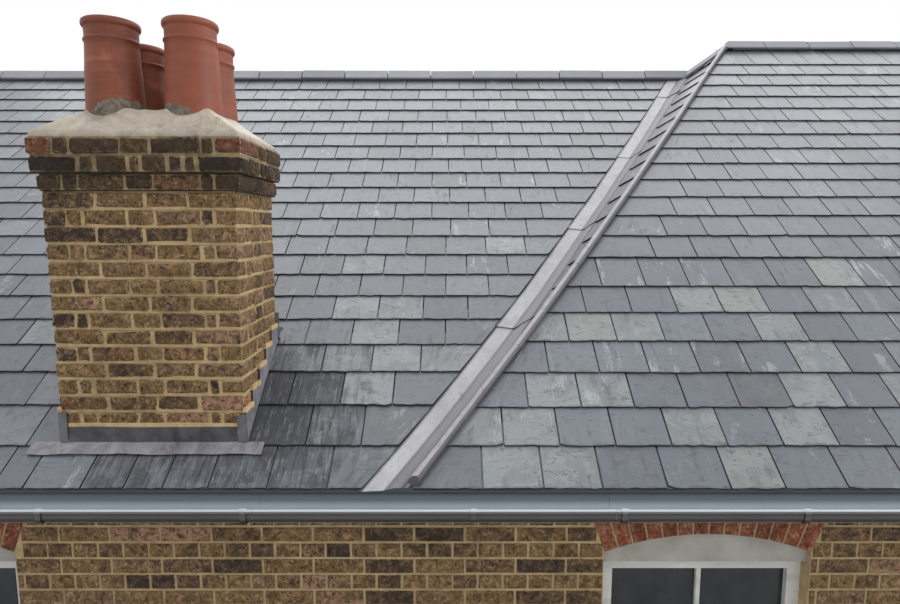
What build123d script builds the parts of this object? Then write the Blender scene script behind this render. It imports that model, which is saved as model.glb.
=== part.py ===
# A slate roof between party walls, with a brick chimney, lead valley, lead roll hip and gutters.
# X runs along the eaves, Y runs into the roof and Z is up, all in millimetres.
# The front slopes are modelled first and mirrored in the ridge line to make the rear ones.
import os
from math import cos, radians, sqrt, tan

from build123d import *

# Overall size of the roof
WIDTH = 9867.0            # 39 slates of 250 with 3 mm joints
RUN = 3650.0              # plan distance from the slate tails to the ridge line
EAVES = 1050.0            # height of the slate tails above the foot of the walls
COVER = 35.0              # slates and battens, measured upright
LEFT_PITCH = 35.0
RIGHT_PITCH = 38.0

# Plan lines of the front valley and hip: x = start + rate * distance in from the tails
CREASE = (-233.0, 0.698)
CUT = (-353.5, 0.697)
HIP = (-148.0, 0.786)
SLATE_EDGE = (-84.0, 0.670)
HIP_SLOPE_RATE = 0.70     # rise of the hip slope for each millimetre to the right

# Walls
WALL = 215.0
WALL_FACE = 90.0          # wall face behind the slate tails
VERGE = 8.0               # the slates pass the outer face of the party walls by this
WALL_TOP = -100.0         # all heights below are measured from the slate tails
PLATE_TOP = -15.0

# Windows under the eaves
WINDOW_CENTRES = (-2415.0, 1155.0)
WINDOW_WIDTH = 930.0
ARCH_RADIUS = 1300.0
ARCH_CROWN = -256.0
HEAD_FOOT = -400.0

# Chimney
STACK_X = (-1760.0, -932.0)
STACK_T = (195.0, 715.0)
BRICK_TOP = 1485.0
COURSE = 75.5
OVERSAIL = 25.0
POTS = {
    "pot_front_left": (-1499.0, 345.0, 2000.0),
    "pot_front_right": (-1148.0, 345.0, 2000.0),
    "pot_back_left": (-1503.0, 600.0, 1955.0),
    "pot_back_right": (-1172.0, 600.0, 1955.0),
}
FLUE_SIDE = 110.0
FLUE_FOOT = -40.0         # the flues are blocked off just below the roof
STACK_GAP = 40.0          # timber keeps this far from the stack

# Lead
LEAD = 4.0                # thicker than real lead sheet, so that it holds its shape
ROLL_RADIUS = 23.0

# Timber
RAFTER_SPACING = 400.0
RAFTER_WIDTH = 50.0
RAFTER_DEPTH = 122.0      # measured upright
RAFTER_GAP = 3.5          # room between a party wall and the rafter beside it
PLATE_SETBACK = 90.0
PLATE_WIDTH = 100.0
BOARD = 22.0

# Ridge, measured from the hip edge and the valley slates at the ridge line
LEFT_RIDGE_LAP = 58.5
RIGHT_RIDGE_LAP = 21.0
CAPPING_ENDS = (13.5, 31.0)
ROLL_END = 95.0           # the hip roll stops this far short of the ridge line

# Gutter brackets: those that show, and the spacing of the others out to both ends
BRACKETS = (-2530, -1727, -868, 734, 1499)
BRACKET_SPACING = 800.0
BRACKET_END = 150.0

HALF = WIDTH / 2
LEFT_RISE = tan(radians(LEFT_PITCH))
RIGHT_RISE = tan(radians(RIGHT_PITCH))
HIP_SLOPE_Y = RIGHT_RISE - HIP_SLOPE_RATE * HIP[1]
HIP_SLOPE_0 = -HIP_SLOPE_RATE * HIP[0]


def left_z(x, t):
    return LEFT_RISE * t


def right_z(x, t):
    return RIGHT_RISE * t


def hip_slope_z(x, t):
    return HIP_SLOPE_RATE * x + HIP_SLOPE_Y * t + HIP_SLOPE_0


def at(line, t):
    return line[0] + line[1] * t


def point(x, t, z):
    # t is the distance in from the slate tails and z the height above them
    return Vector(x, t - RUN, z + EAVES)


def solid_between(top, bottom):
    # a solid whose top and bottom are flat polygons with matching corners
    faces = [Face(Wire.make_polygon(top)), Face(Wire.make_polygon(bottom))]
    n = len(top)
    for i in range(n):
        j = (i + 1) % n
        faces.append(Face(Wire.make_polygon([top[i], top[j], bottom[j], bottom[i]])))
    return Solid(Shell(faces))


def slab(plan, height, top, bottom):
    # a slab under a plan outline, from height + top down to height + bottom
    upper = [point(x, t, height(x, t) + top) for x, t in plan]
    lower = [point(x, t, height(x, t) + bottom) for x, t in plan]
    return solid_between(upper, lower)


def block(x0, x1, t0, t1, z0, z1):
    size = Box(x1 - x0, t1 - t0, z1 - z0)
    return Pos((x0 + x1) / 2, (t0 + t1) / 2 - RUN, (z0 + z1) / 2 + EAVES) * size


def profile(points, x0, x1):
    # an outline of (t, z) corners drawn out from x0 to x1
    corners = [point(x0, t, z) for t, z in points]
    return extrude(Face(Wire.make_polygon(corners)), amount=x1 - x0, dir=(1, 0, 0))


def upright(points, t0, t1):
    # an outline of (x, z) corners drawn out from t0 to t1
    corners = [point(x, t0, z) for x, z in points]
    return extrude(Face(Wire.make_polygon(corners)), amount=t1 - t0, dir=(0, 1, 0))


def to_rear(shape):
    return mirror(shape, about=Plane.XZ)


def joined(shapes):
    return Compound(children=[s for shape in shapes for s in shape.solids()])


def save(shape, name):
    export_step(shape, "parts/" + name + ".step")


# Windows

def arch_outline(x, radius_out):
    # corners of the segmental arch ring, from the left springing round to the right one
    centre = ARCH_CROWN - ARCH_RADIUS
    half = WINDOW_WIDTH / 2
    spread = [half * k / 8 for k in range(-8, 9)]
    inner = [(x + s, centre + sqrt(ARCH_RADIUS ** 2 - s * s)) for s in spread]
    grow = radius_out / ARCH_RADIUS
    outer = [(x + s * grow, centre + sqrt(ARCH_RADIUS ** 2 - s * s) * grow) for s in spread]
    return inner, outer


def arch_ring(x):
    inner, outer = arch_outline(x, ARCH_RADIUS + 225)
    ring = upright(inner + outer[::-1], WALL_FACE, WALL_FACE + WALL)
    return ring & block(x - 800, x + 800, WALL_FACE, WALL_FACE + WALL, -600, WALL_TOP)


def window_opening(x):
    inner, _ = arch_outline(x, ARCH_RADIUS)
    half = WINDOW_WIDTH / 2
    outline = [(x - half, -EAVES - 50)] + inner + [(x + half, -EAVES - 50)]
    return upright(outline, WALL_FACE - 50, WALL_FACE + WALL + 50)


def window_head(x):
    inner, _ = arch_outline(x, ARCH_RADIUS)
    half = WINDOW_WIDTH / 2
    outline = [(x - half, HEAD_FOOT)] + inner + [(x + half, HEAD_FOOT)]
    return upright(outline, WALL_FACE + 25, WALL_FACE + 85)


def window_frame(x):
    half = WINDOW_WIDTH / 2
    t0, t1 = WALL_FACE + 70, WALL_FACE + 140
    outer = block(x - half, x + half, t0, t1, -EAVES, HEAD_FOOT)
    inner = block(x - half + 60, x + half - 60, t0 - 5, t1 + 5, -EAVES + 50, HEAD_FOOT - 60)
    return outer - inner


def window_pane(x):
    half = WINDOW_WIDTH / 2 - 60
    t = WALL_FACE + 100
    return block(x - half, x + half, t, t + 6, -EAVES + 50, HEAD_FOOT - 60)


# Walls

def front_wall():
    inside = HALF - WALL
    wall = block(-inside, inside, WALL_FACE, WALL_FACE + WALL, -EAVES, WALL_TOP)
    for x in WINDOW_CENTRES:
        wall = wall - window_opening(x) - arch_ring(x)
    return wall


def party_wall(x0, x1, rise):
    under = rise * WALL_FACE - COVER
    ridge = rise * RUN - COVER
    far = 2 * RUN - WALL_FACE
    outline = [(WALL_FACE, -EAVES), (WALL_FACE, under), (RUN, ridge), (far, under), (far, -EAVES)]
    return profile(outline, x0, x1)


def plate_block(inside):
    t = WALL_FACE + PLATE_SETBACK
    return block(-inside, inside, t, t + PLATE_WIDTH, WALL_TOP, PLATE_TOP)


def wall_plate():
    return plate_block(HALF - WALL) - stack_room(15)


# Chimney

def stack_room(gap):
    return block(STACK_X[0] - gap, STACK_X[1] + gap, STACK_T[0] - gap, STACK_T[1] + gap,
                 -EAVES - 10, BRICK_TOP)


def stack_block(grow, z0, z1):
    return block(STACK_X[0] - grow, STACK_X[1] + grow, STACK_T[0] - grow, STACK_T[1] + grow, z0, z1)


def around_flues(grow, z0, z1):
    # square flues under the pots, with the brickwork in plain blocks around them
    x0, x1 = STACK_X[0] - grow, STACK_X[1] + grow
    half = FLUE_SIDE / 2
    found = []
    start = STACK_T[0] - grow
    for row in sorted({t for _, t, _ in POTS.values()}):
        found.append(block(x0, x1, start, row - half, z0, z1))
        left = x0
        for x in sorted(x for x, t, _ in POTS.values() if t == row):
            found.append(block(left, x - half, row - half, row + half, z0, z1))
            left = x + half
        found.append(block(left, x1, row - half, row + half, z0, z1))
        start = row + half
    found.append(block(x0, x1, start, STACK_T[1] + grow, z0, z1))
    return found


def chimney_shaft():
    foot = block(STACK_X[0], STACK_X[1], WALL_FACE + WALL, STACK_T[1], -EAVES, WALL_TOP)
    floor = stack_block(0, WALL_TOP, FLUE_FOOT)
    return joined([foot, floor] + around_flues(0, FLUE_FOOT, BRICK_TOP - 3 * COURSE))


def oversail_lower():
    return joined(around_flues(OVERSAIL, BRICK_TOP - 3 * COURSE, BRICK_TOP - 2 * COURSE))


def oversail_upper():
    return joined(around_flues(2 * OVERSAIL, BRICK_TOP - 2 * COURSE, BRICK_TOP))


def pot(x, t, top):
    base = BRICK_TOP
    height = top - base
    outer = [
        (0, 0), (117, 0), (109, height - 118), (109, height - 100), (115, height - 92),
        (115, height - 82), (109, height - 74), (110, height - 40), (119, height - 26),
        (120, height - 8), (114, height), (0, height),
    ]
    inner = [
        (0, -5), (95, -5), (90, height - 60), (92, height + 5), (0, height + 5),
    ]
    body = revolve(Face(Wire.make_polygon([Vector(r, 0, z) for r, z in outer])), Axis.Z)
    bore = revolve(Face(Wire.make_polygon([Vector(r, 0, z) for r, z in inner])), Axis.Z)
    return Pos(x, t - RUN, base + EAVES) * (body - bore)


def flaunching():
    x0, x1 = STACK_X[0] - 40, STACK_X[1] + 40
    t0, t1 = STACK_T[0] - 40, STACK_T[1] + 40
    lip = block(x0, x1, t0, t1, BRICK_TOP, BRICK_TOP + 25)
    low = [(x0, t0), (x1, t0), (x1, t1), (x0, t1)]
    high = [(-1600, 285), (-1060, 285), (-1060, 625), (-1600, 625)]
    upper = [point(x, t, BRICK_TOP + 137) for x, t in high]
    lower = [point(x, t, BRICK_TOP + 25) for x, t in low]
    shape = lip + solid_between(upper, lower)
    for x, t, _ in POTS.values():
        room = Cylinder(118, 300, align=(Align.CENTER, Align.CENTER, Align.MIN))
        shape = shape - Pos(x, t - RUN, BRICK_TOP + EAVES - 20) * room
    return shape


def apron_flashing():
    back = STACK_T[0] - LEAD / 2
    plan = [(-1900, 133), (-841, 133), (-841, back), (-1900, back)]
    sheet = slab(plan, left_z, LEAD, 0)
    face = STACK_T[0]
    upstand = block(STACK_X[0] - LEAD, STACK_X[1] + LEAD, face - LEAD, face, left_z(0, face), 209)
    return sheet + upstand


def step_flashing(x0, x1):
    # one step for each brick course up the side of the stack
    top = []
    for k in range(17, 10, -1):
        z = BRICK_TOP - k * COURSE
        t0 = max((z - 150) / LEFT_RISE, STACK_T[0])
        t1 = min((z - 150 + COURSE) / LEFT_RISE, STACK_T[1])
        if t1 > t0:
            top.append((t0, z))
            top.append((t1, z))
    foot = [(STACK_T[1], left_z(0, STACK_T[1])), (STACK_T[0], left_z(0, STACK_T[0]))]
    return profile(top + foot, x0, x1)


def back_gutter():
    t = STACK_T[1]
    low = left_z(0, t) + 12
    outline = [
        (t, low), (t, 655), (t + LEAD, 655), (t + LEAD, low + LEAD),
        (t + 55, low + 6), (t + 84, left_z(0, t + 84) + 2), (t + 84, left_z(0, t + 84) - 3),
        (t + 57, low + 1),
    ]
    return profile(outline, STACK_X[0] - 22, STACK_X[1] + 22)


# Slate slopes

def slope_left():
    plan = [(-HALF, 0), (at(CUT, 0), 0), (at(CUT, RUN), RUN), (-HALF, RUN)]
    cover = slab(plan, left_z, 0, -COVER)
    room = block(STACK_X[0] - 6, STACK_X[1] + 6, STACK_T[0] - 6, STACK_T[1] + 6, -300, 1400)
    behind = block(STACK_X[0] - 26, STACK_X[1] + 26, STACK_T[1], STACK_T[1] + 85, -300, 1400)
    return cover - room - behind


def slope_right():
    plan = [(at(HIP, 0), 0), (HALF, 0), (HALF, RUN), (at(HIP, RUN), RUN)]
    return slab(plan, right_z, 0, -COVER)


def hip_start():
    # where the slates of the hip slope begin, distance in from the tails
    return (HIP[0] - SLATE_EDGE[0]) / (SLATE_EDGE[1] - HIP[1])


def hip_slope():
    t = hip_start()
    plan = [(at(HIP, t), t), (at(HIP, RUN), RUN), (at(SLATE_EDGE, RUN), RUN)]
    return slab(plan, hip_slope_z, 0, -COVER)


def hip_boards():
    t = hip_start()
    plan = [(at(HIP, t), t), (at(HIP, RUN), RUN), (at(SLATE_EDGE, RUN), RUN)]
    return slab(plan, hip_slope_z, -COVER, -COVER - BOARD)


def sheet(corners, top, bottom):
    upper = [point(x, t, z + top) for x, t, z in corners]
    lower = [point(x, t, z + bottom) for x, t, z in corners]
    return solid_between(upper, lower)


def valley_corners():
    t = hip_start()
    crease = [(at(CREASE, k), k, left_z(0, k) - 12) for k in (-22, t, RUN)]
    hip_foot = (at(HIP, -22), -22, right_z(0, -22) - 3)
    hip_meet = (at(HIP, t), t, right_z(0, t) - 4)
    edge = (at(SLATE_EDGE, RUN), RUN, hip_slope_z(at(SLATE_EDGE, RUN), RUN) - 3)
    return crease, hip_foot, hip_meet, edge


def valley_sole(top, bottom):
    plan = [(at(CUT, -22), -22), (at(CREASE, -22), -22), (at(CREASE, RUN), RUN), (at(CUT, RUN), RUN)]
    return slab(plan, left_z, top, bottom)


def valley_lead():
    crease, hip_foot, hip_meet, edge = valley_corners()
    sole = valley_sole(-12, -16)
    rises = [
        sheet([crease[0], hip_foot, hip_meet], 0, -4),
        sheet([crease[0], hip_meet, crease[1]], 0, -4),
        sheet([crease[1], hip_meet, edge], 0, -4),
        sheet([crease[1], edge, crease[2]], 0, -4),
    ]
    for rise in rises:
        sole = sole + rise
    return sole


def valley_board():
    crease, hip_foot, hip_meet, edge = valley_corners()
    plan = [(at(CUT, 95), 95), (at(CREASE, 95), 95), (at(CREASE, RUN), RUN), (at(CUT, RUN), RUN)]
    return slab(plan, left_z, -16, -COVER)


def hip_roll():
    # the roll rests along the hip edge, so it is lifted by its radius square to that edge
    lift = ROLL_RADIUS * sqrt(1 + RIGHT_RISE ** 2 / (1 + HIP[1] ** 2))
    a = point(at(HIP, -20), -20, right_z(0, -20) + lift)
    end = RUN - ROLL_END
    b = point(at(HIP, end), end, right_z(0, end) + lift)
    axis = Plane(origin=a, z_dir=b - a)
    return axis * Cylinder(ROLL_RADIUS, (b - a).length, align=(Align.CENTER, Align.CENTER, Align.MIN))


def below_hip_slope():
    # everything under the hip slope near the ridge, both front and rear
    x0, x1, t = at(SLATE_EDGE, RUN) - 400, at(HIP, RUN) + 400, RUN - 450
    plan = [(x0, t), (x1, t), (x1, RUN), (x0, RUN)]
    front = slab(plan, hip_slope_z, 0, -900)
    return front + to_rear(front)


def ridge_cap(x0, x1, rise):
    # an angle tile on two strips of bedding
    apex = rise * RUN
    wing = 142.0
    low = rise * wing
    outer = [(RUN - wing, apex - low + 42), (RUN, apex + 42), (RUN + wing, apex - low + 42),
             (RUN + wing, apex - low + 22), (RUN, apex + 22), (RUN - wing, apex - low + 22)]
    tile = profile(outer, x0, x1)
    for side in (-1, 1):
        near, far = RUN + side * (wing - 14), RUN + side * (wing - 44)
        bed = [(near, apex - rise * (wing - 14)), (near, apex - rise * (wing - 14) + 22),
               (far, apex - rise * (wing - 44) + 22), (far, apex - rise * (wing - 44))]
        tile = tile + profile(bed, x0, x1)
    return tile


def hip_ridge_capping():
    # folded lead over the sloping ridge between the front and rear hip slopes
    x0, x1 = at(SLATE_EDGE, RUN) + CAPPING_ENDS[0], at(HIP, RUN) - CAPPING_ENDS[1]
    plan = [(x0, RUN - 70), (x1, RUN - 70), (x1, RUN), (x0, RUN)]
    front = slab(plan, hip_slope_z, 6, 1)
    return front + to_rear(front)


# Timber

def clear_of_stack(shape):
    return shape - block(STACK_X[0] - STACK_GAP, STACK_X[1] + STACK_GAP,
                         WALL_FACE - 5, STACK_T[1] + STACK_GAP, -200, 1400)


def rafter_places():
    # the first and the last stand against the party walls, with room for a joist beside each
    last = HALF - WALL - RAFTER_GAP - RAFTER_WIDTH / 2
    found = []
    x = -last
    while x < last - 2 * RAFTER_WIDTH - RAFTER_GAP:
        found.append(x)
        x += RAFTER_SPACING
    return found + [last]


def beside_stack():
    # the rafters on either side of the stack, which carry the trimmers behind it
    left = max(x for x in rafter_places() if x + 1.5 * RAFTER_WIDTH < STACK_X[0] - STACK_GAP)
    right = min(x for x in rafter_places() if x - RAFTER_WIDTH / 2 > STACK_X[1] + STACK_GAP)
    return left, right


def rafter(x, t0, t1, height):
    half = RAFTER_WIDTH / 2
    plan = [(x - half, t0), (x + half, t0), (x + half, t1), (x - half, t1)]
    return slab(plan, height, -COVER, -COVER - RAFTER_DEPTH)


def rafters():
    found = []
    end = RUN - 16
    half = RAFTER_WIDTH / 2
    plate = plate_block(HALF)
    for x in rafter_places():
        low = max((x + half - CREASE[0]) / CREASE[1] + 60, WALL_FACE)
        if x < at(CREASE, 0) - 60:
            found.append(rafter(x, WALL_FACE, end, left_z))
        elif low < end - 150:
            found.append(rafter(x, low, end, left_z))
        high = (x - half - HIP[0]) / HIP[1] - 60
        if high > 400:
            found.append(rafter(x, WALL_FACE, min(high, end), right_z))
    cut = []
    for piece in found:
        cut.append(clear_of_stack(piece - plate))
    t = STACK_T[1] + STACK_GAP
    top = left_z(0, t) - COVER - 6
    foot = top + 6 - RAFTER_DEPTH
    left, right = beside_stack()
    trimmer = [(t, foot), (t, top), (t + 40, top), (t + 40, foot)]
    cut.append(profile(trimmer, left + half, right - half))
    return cut


def line_rafter(line, t0, t1, height, top):
    half = RAFTER_WIDTH / 2
    plan = [(at(line, t0) - half, t0), (at(line, t0) + half, t0),
            (at(line, t1) + half, t1), (at(line, t1) - half, t1)]
    return slab(plan, height, top, top - 150)


def hip_and_valley_rafters():
    under_boards = -COVER - BOARD - HIP_SLOPE_RATE * RAFTER_WIDTH / 2
    hip = line_rafter(HIP, 420, RUN - 45, right_z, under_boards)
    valley = line_rafter(CREASE, 420, RUN - 45, left_z, -COVER)
    return [hip, valley]


def ridge_boards():
    left = profile([(RUN - 16, left_z(0, RUN) - 250), (RUN - 16, left_z(0, RUN) - COVER - 12),
                    (RUN + 16, left_z(0, RUN) - COVER - 12), (RUN + 16, left_z(0, RUN) - 250)],
                   -HALF + WALL, at(CREASE, RUN) - 20)
    right = profile([(RUN - 16, right_z(0, RUN) - 250), (RUN - 16, right_z(0, RUN) - COVER - 13),
                     (RUN + 16, right_z(0, RUN) - COVER - 13), (RUN + 16, right_z(0, RUN) - 250)],
                    at(HIP, RUN) + 20, HALF - WALL)
    return left, right


def ceiling_joists():
    found = []
    half = RAFTER_WIDTH / 2
    t = WALL_FACE + PLATE_SETBACK
    for x in rafter_places()[:-1]:
        joist = block(x + half, x + 3 * half, t, 2 * RUN - t, PLATE_TOP, PLATE_TOP + 95)
        found.append(clear_of_stack(joist))
    left, right = beside_stack()
    t = STACK_T[1] + STACK_GAP
    found.append(block(left + 3 * half, right + half, t, t + 50, PLATE_TOP, PLATE_TOP + 95))
    return found


# Eaves

GUTTER_OUT = [(65, -52), (65, -132), (-44, -132), (-60, -116), (-60, -72)]
GUTTER_IN = [(61, -30), (61, -128), (-42.3, -128), (-56, -114.3), (-56, -50)]


def fascia():
    return block(-HALF, HALF, 65, WALL_FACE, -190, 8)


def gutter():
    return profile(GUTTER_OUT, -HALF, HALF) - profile(GUTTER_IN, -HALF + 4, HALF - 4)


def bracket_places():
    found = list(BRACKETS)
    for side, x in ((-1, BRACKETS[0]), (1, BRACKETS[-1])):
        x += side * BRACKET_SPACING
        while abs(x) < HALF - BRACKET_END:
            found.append(x)
            x += side * BRACKET_SPACING
    return sorted(found)


def bracket(x):
    outer = [(65, -44), (65, -136), (-46, -136), (-64, -118), (-64, -68)]
    strap = profile(outer, x - 13, x + 13) - profile(GUTTER_OUT, x - 20, x + 20)
    inner = [(65, -30), (65, -128), (-42.3, -128), (-56, -114.3), (-56, -72), (-55, -60)]
    return strap - profile(inner, x - 20, x + 20)


def main():
    os.makedirs("parts", exist_ok=True)
    wall = front_wall()
    save(wall, "front_wall")
    save(to_rear(wall), "rear_wall")
    save(party_wall(-HALF + VERGE, -HALF + WALL, LEFT_RISE), "left_party_wall")
    save(party_wall(HALF - WALL, HALF - VERGE, RIGHT_RISE), "right_party_wall")
    for name, make in (("window_arches", arch_ring), ("window_heads", window_head),
                       ("window_frames", window_frame), ("window_panes", window_pane)):
        front = [make(x) for x in WINDOW_CENTRES]
        save(joined(front + [to_rear(s) for s in front]), name)
    plate = wall_plate()
    rear_plate = to_rear(plate_block(HALF - WALL))
    save(joined([plate, rear_plate]), "wall_plates")
    save(joined(ceiling_joists()), "ceiling_joists")
    timbers = rafters()
    save(joined(timbers), "rafters_front")
    save(joined([to_rear(s) for s in timbers]), "rafters_rear")
    save(joined(ridge_boards()), "ridge_boards")
    lines = hip_and_valley_rafters()
    save(joined(lines + [to_rear(s) for s in lines]), "hip_and_valley_rafters")
    boards = hip_boards()
    save(joined([boards, to_rear(boards)]), "hip_slope_boards")
    boards = valley_board()
    save(joined([boards, to_rear(boards)]), "valley_boards")
    cover = slope_left()
    save(cover, "front_slope_left")
    plain = slab([(-HALF, 0), (at(CUT, 0), 0), (at(CUT, RUN), RUN), (-HALF, RUN)], left_z, 0, -COVER)
    save(to_rear(plain), "rear_slope_left")
    cover = slope_right()
    save(cover, "front_slope_right")
    save(to_rear(cover), "rear_slope_right")
    cover = hip_slope()
    save(cover, "front_hip_slope")
    save(to_rear(cover), "rear_hip_slope")
    lead = valley_lead()
    save(lead, "front_valley_lead")
    save(to_rear(lead), "rear_valley_lead")
    roll = hip_roll()
    save(roll, "front_hip_roll")
    save(to_rear(roll), "rear_hip_roll")
    left_end = at(SLATE_EDGE, RUN) + LEFT_RIDGE_LAP
    save(ridge_cap(-HALF, left_end, LEFT_RISE) - below_hip_slope(), "ridge_tiles_left")
    save(ridge_cap(at(HIP, RUN) - RIGHT_RIDGE_LAP, HALF, RIGHT_RISE), "ridge_tiles_right")
    save(hip_ridge_capping(), "hip_ridge_capping")
    board = fascia()
    save(board, "front_fascia")
    save(to_rear(board), "rear_fascia")
    channel = gutter()
    save(channel, "front_gutter")
    save(to_rear(channel), "rear_gutter")
    straps = [bracket(x) for x in bracket_places()]
    save(joined(straps + [to_rear(s) for s in straps]), "gutter_brackets")
    save(chimney_shaft(), "chimney_shaft")
    save(oversail_lower(), "oversail_course_lower")
    save(oversail_upper(), "oversail_course_upper")
    save(flaunching(), "flaunching")
    for name, place in POTS.items():
        save(pot(*place), name)
    save(apron_flashing(), "apron_flashing")
    save(step_flashing(STACK_X[0] - LEAD, STACK_X[0]), "step_flashing_left")
    save(step_flashing(STACK_X[1], STACK_X[1] + LEAD), "step_flashing_right")
    save(back_gutter(), "back_gutter")


main()
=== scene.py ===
# %% [markdown]
# # A slate roof with a chimney, a valley and a hip
# This lesson dresses a measured model of a roof. The model comes in as a frame that never moves,
# and every slate, brick and sheet of lead is then built around it at its true size. All sizes are
# in metres. X runs along the gutter, Y runs into the roof and Z is up.

# %% Load the frame
from math import cos, hypot, radians, sin, sqrt, tan

import bmesh
import bpy
import numpy as np
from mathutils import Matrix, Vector, noise

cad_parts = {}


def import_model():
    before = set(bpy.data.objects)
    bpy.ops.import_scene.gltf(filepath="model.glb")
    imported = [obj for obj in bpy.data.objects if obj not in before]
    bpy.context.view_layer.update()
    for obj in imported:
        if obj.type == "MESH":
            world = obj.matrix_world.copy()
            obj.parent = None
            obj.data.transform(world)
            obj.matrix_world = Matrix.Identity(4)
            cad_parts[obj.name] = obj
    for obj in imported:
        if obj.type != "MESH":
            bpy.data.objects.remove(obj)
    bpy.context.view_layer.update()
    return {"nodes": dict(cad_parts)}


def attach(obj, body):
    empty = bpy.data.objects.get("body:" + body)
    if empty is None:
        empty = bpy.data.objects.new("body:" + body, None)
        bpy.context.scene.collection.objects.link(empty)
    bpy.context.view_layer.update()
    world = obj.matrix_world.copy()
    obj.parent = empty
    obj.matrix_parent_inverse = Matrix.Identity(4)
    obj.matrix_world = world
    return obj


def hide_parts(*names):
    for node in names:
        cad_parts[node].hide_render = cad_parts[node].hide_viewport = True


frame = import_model()
NODES = frame["nodes"]

# %% [markdown]
# The roof is laid out from a few lengths that its maker would also have used. `HALF` is half its
# length, `RUN` the plan distance from the slate tails to the ridge and `EAVES` the height of the
# tails above the wall foot.
# Inside the roof a place is given as x, t and z: t is measured in from the tails, z up from them.

# %% Sizes
HALF = 4.9335
RUN = 3.650
EAVES = 1.050
LEFT_PITCH, RIGHT_PITCH = radians(35), radians(38)
LEFT_RISE, RIGHT_RISE, HIP_RISE = tan(LEFT_PITCH), tan(RIGHT_PITCH), 0.70
# lines on plan, x at t = 0 and its change with t: valley crease, cut slates, hip, narrow slope
CREASE, CUT, HIP, SLATE_EDGE = (-0.233, 0.698), (-0.3535, 0.697), (-0.148, 0.786), (-0.084, 0.670)
HIP_RISE_T, HIP_RISE_0 = RIGHT_RISE - HIP_RISE * HIP[1], -HIP_RISE * HIP[0]
WALL_FACE, VERGE, WALL_TOP = 0.090, 0.008, -0.100
WINDOWS, WINDOW_WIDTH = (-2.415, 1.155), 0.930
ARCH_RADIUS, ARCH_CROWN, HEAD_FOOT = 1.300, -0.256, -0.400
ARCH_FOOT, ARCH_SPLAY, ARCH_TURN, ARCH_HEIGHT = -0.342, 0.383, 0.3657, 0.222
STACK_X, STACK_T = (-1.760, -0.932), (0.195, 0.715)
BRICK_TOP, COURSE = 1.485, 0.0755
POTS = {  # x, t and the height of the rim
    "pot_front_left": (-1.499, 0.345, 2.000),
    "pot_front_right": (-1.148, 0.345, 2.000),
    "pot_back_left": (-1.503, 0.600, 1.960),
    "pot_back_right": (-1.172, 0.600, 1.968),
}
GAUGE, SLATE_WIDTH, JOINT, SLATE_LENGTH = 0.208, 0.250, 0.0055, 0.285
rng = np.random.default_rng(7)


def at(line, t):
    return line[0] + line[1] * t


def hip_x(t):
    """The hip on plan. It was built a little out of straight, bowing towards the right roof."""
    return at(HIP, t) + np.maximum(0.0285 - np.where(t < 1.15, 0.0325, 0.0118) * (t - 1.15) ** 2, -0.030)


def valley_bow(t):
    """How far the valley bows from its straight line, in the same way."""
    return 0.034 - np.where(t < 1.05, 0.058, 0.0155) * (t - 1.05) ** 2


def left_z(t):
    return LEFT_RISE * t


def right_z(t):
    return RIGHT_RISE * t


def hip_z(x, t):
    return HIP_RISE * x + HIP_RISE_T * t + HIP_RISE_0


def world(x, t, z):
    return (x, t - RUN, z + EAVES)


print("ridge heights", round(EAVES + left_z(RUN), 3), round(EAVES + right_z(RUN), 3))

# %% [markdown]
# Every piece starts as a primitive and is shaped in edit mode, as by hand. An operator acts on
# whatever is selected, so these helpers clear the selection first and then pick faces or edges by
# a rule about their place. `finish_piece` hangs the piece on the model and gives it its finish.

# %% Modelling helpers


def clear():
    if bpy.context.object and bpy.context.object.mode != "OBJECT":
        bpy.ops.object.mode_set(mode="OBJECT")
    bpy.ops.object.select_all(action="DESELECT")


def use(piece):
    clear()
    piece.select_set(True)
    bpy.context.view_layer.objects.active = piece
    return piece


def settle(piece):
    """Writes a piece's place, turn and size into its mesh."""
    use(piece)
    bpy.ops.object.transform_apply(location=True, rotation=True, scale=True)
    return piece


def named(name):
    """The piece that an operator has just made, under its own name."""
    piece = bpy.context.object
    piece.name = piece.data.name = name
    return piece


def edit(piece, kind="FACE", action="DESELECT"):
    use(piece)
    bpy.ops.object.mode_set(mode="EDIT")
    bpy.ops.mesh.select_mode(type=kind)
    bpy.ops.mesh.select_all(action=action)


def pick(piece, rule, kind="FACE"):
    mesh = bmesh.from_edit_mesh(piece.data)
    bpy.ops.mesh.select_mode(type=kind)
    bpy.ops.mesh.select_all(action="DESELECT")
    for item in {"FACE": mesh.faces, "EDGE": mesh.edges}[kind]:
        if rule(item):
            item.select_set(True)
    mesh.select_flush_mode()
    bmesh.update_edit_mesh(piece.data)


def done(piece, smooth=None):
    """Leaves edit mode with the faces turned outwards."""
    bpy.ops.mesh.select_mode(type="FACE")
    bpy.ops.mesh.select_all(action="SELECT")
    bpy.ops.mesh.normals_make_consistent(inside=False)
    bpy.ops.object.mode_set(mode="OBJECT")
    if smooth is not None:
        bpy.ops.object.shade_smooth_by_angle(angle=radians(smooth))
    return piece


def pull(piece, move):
    """Draws a whole piece out along move and stays in edit mode."""
    edit(piece, action="SELECT")
    bpy.ops.mesh.extrude_region_move(TRANSFORM_OT_translate={"value": move})


def divide(piece, cuts):
    edit(piece, action="SELECT")
    bpy.ops.mesh.subdivide(number_cuts=cuts)
    return done(piece)


def apply(piece, kind, **settings):
    use(piece)
    modifier = piece.modifiers.new(kind.lower(), kind)
    for key, value in settings.items():
        setattr(modifier, key, value)
    bpy.ops.object.modifier_apply(modifier=modifier.name)
    return piece


def chamfer(piece, width, angle, segments=1):
    """Bevels the edges that turn by more than angle degrees."""
    return apply(piece, "BEVEL", width=width, segments=segments, limit_method="ANGLE",
                 angle_limit=radians(angle))


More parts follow.
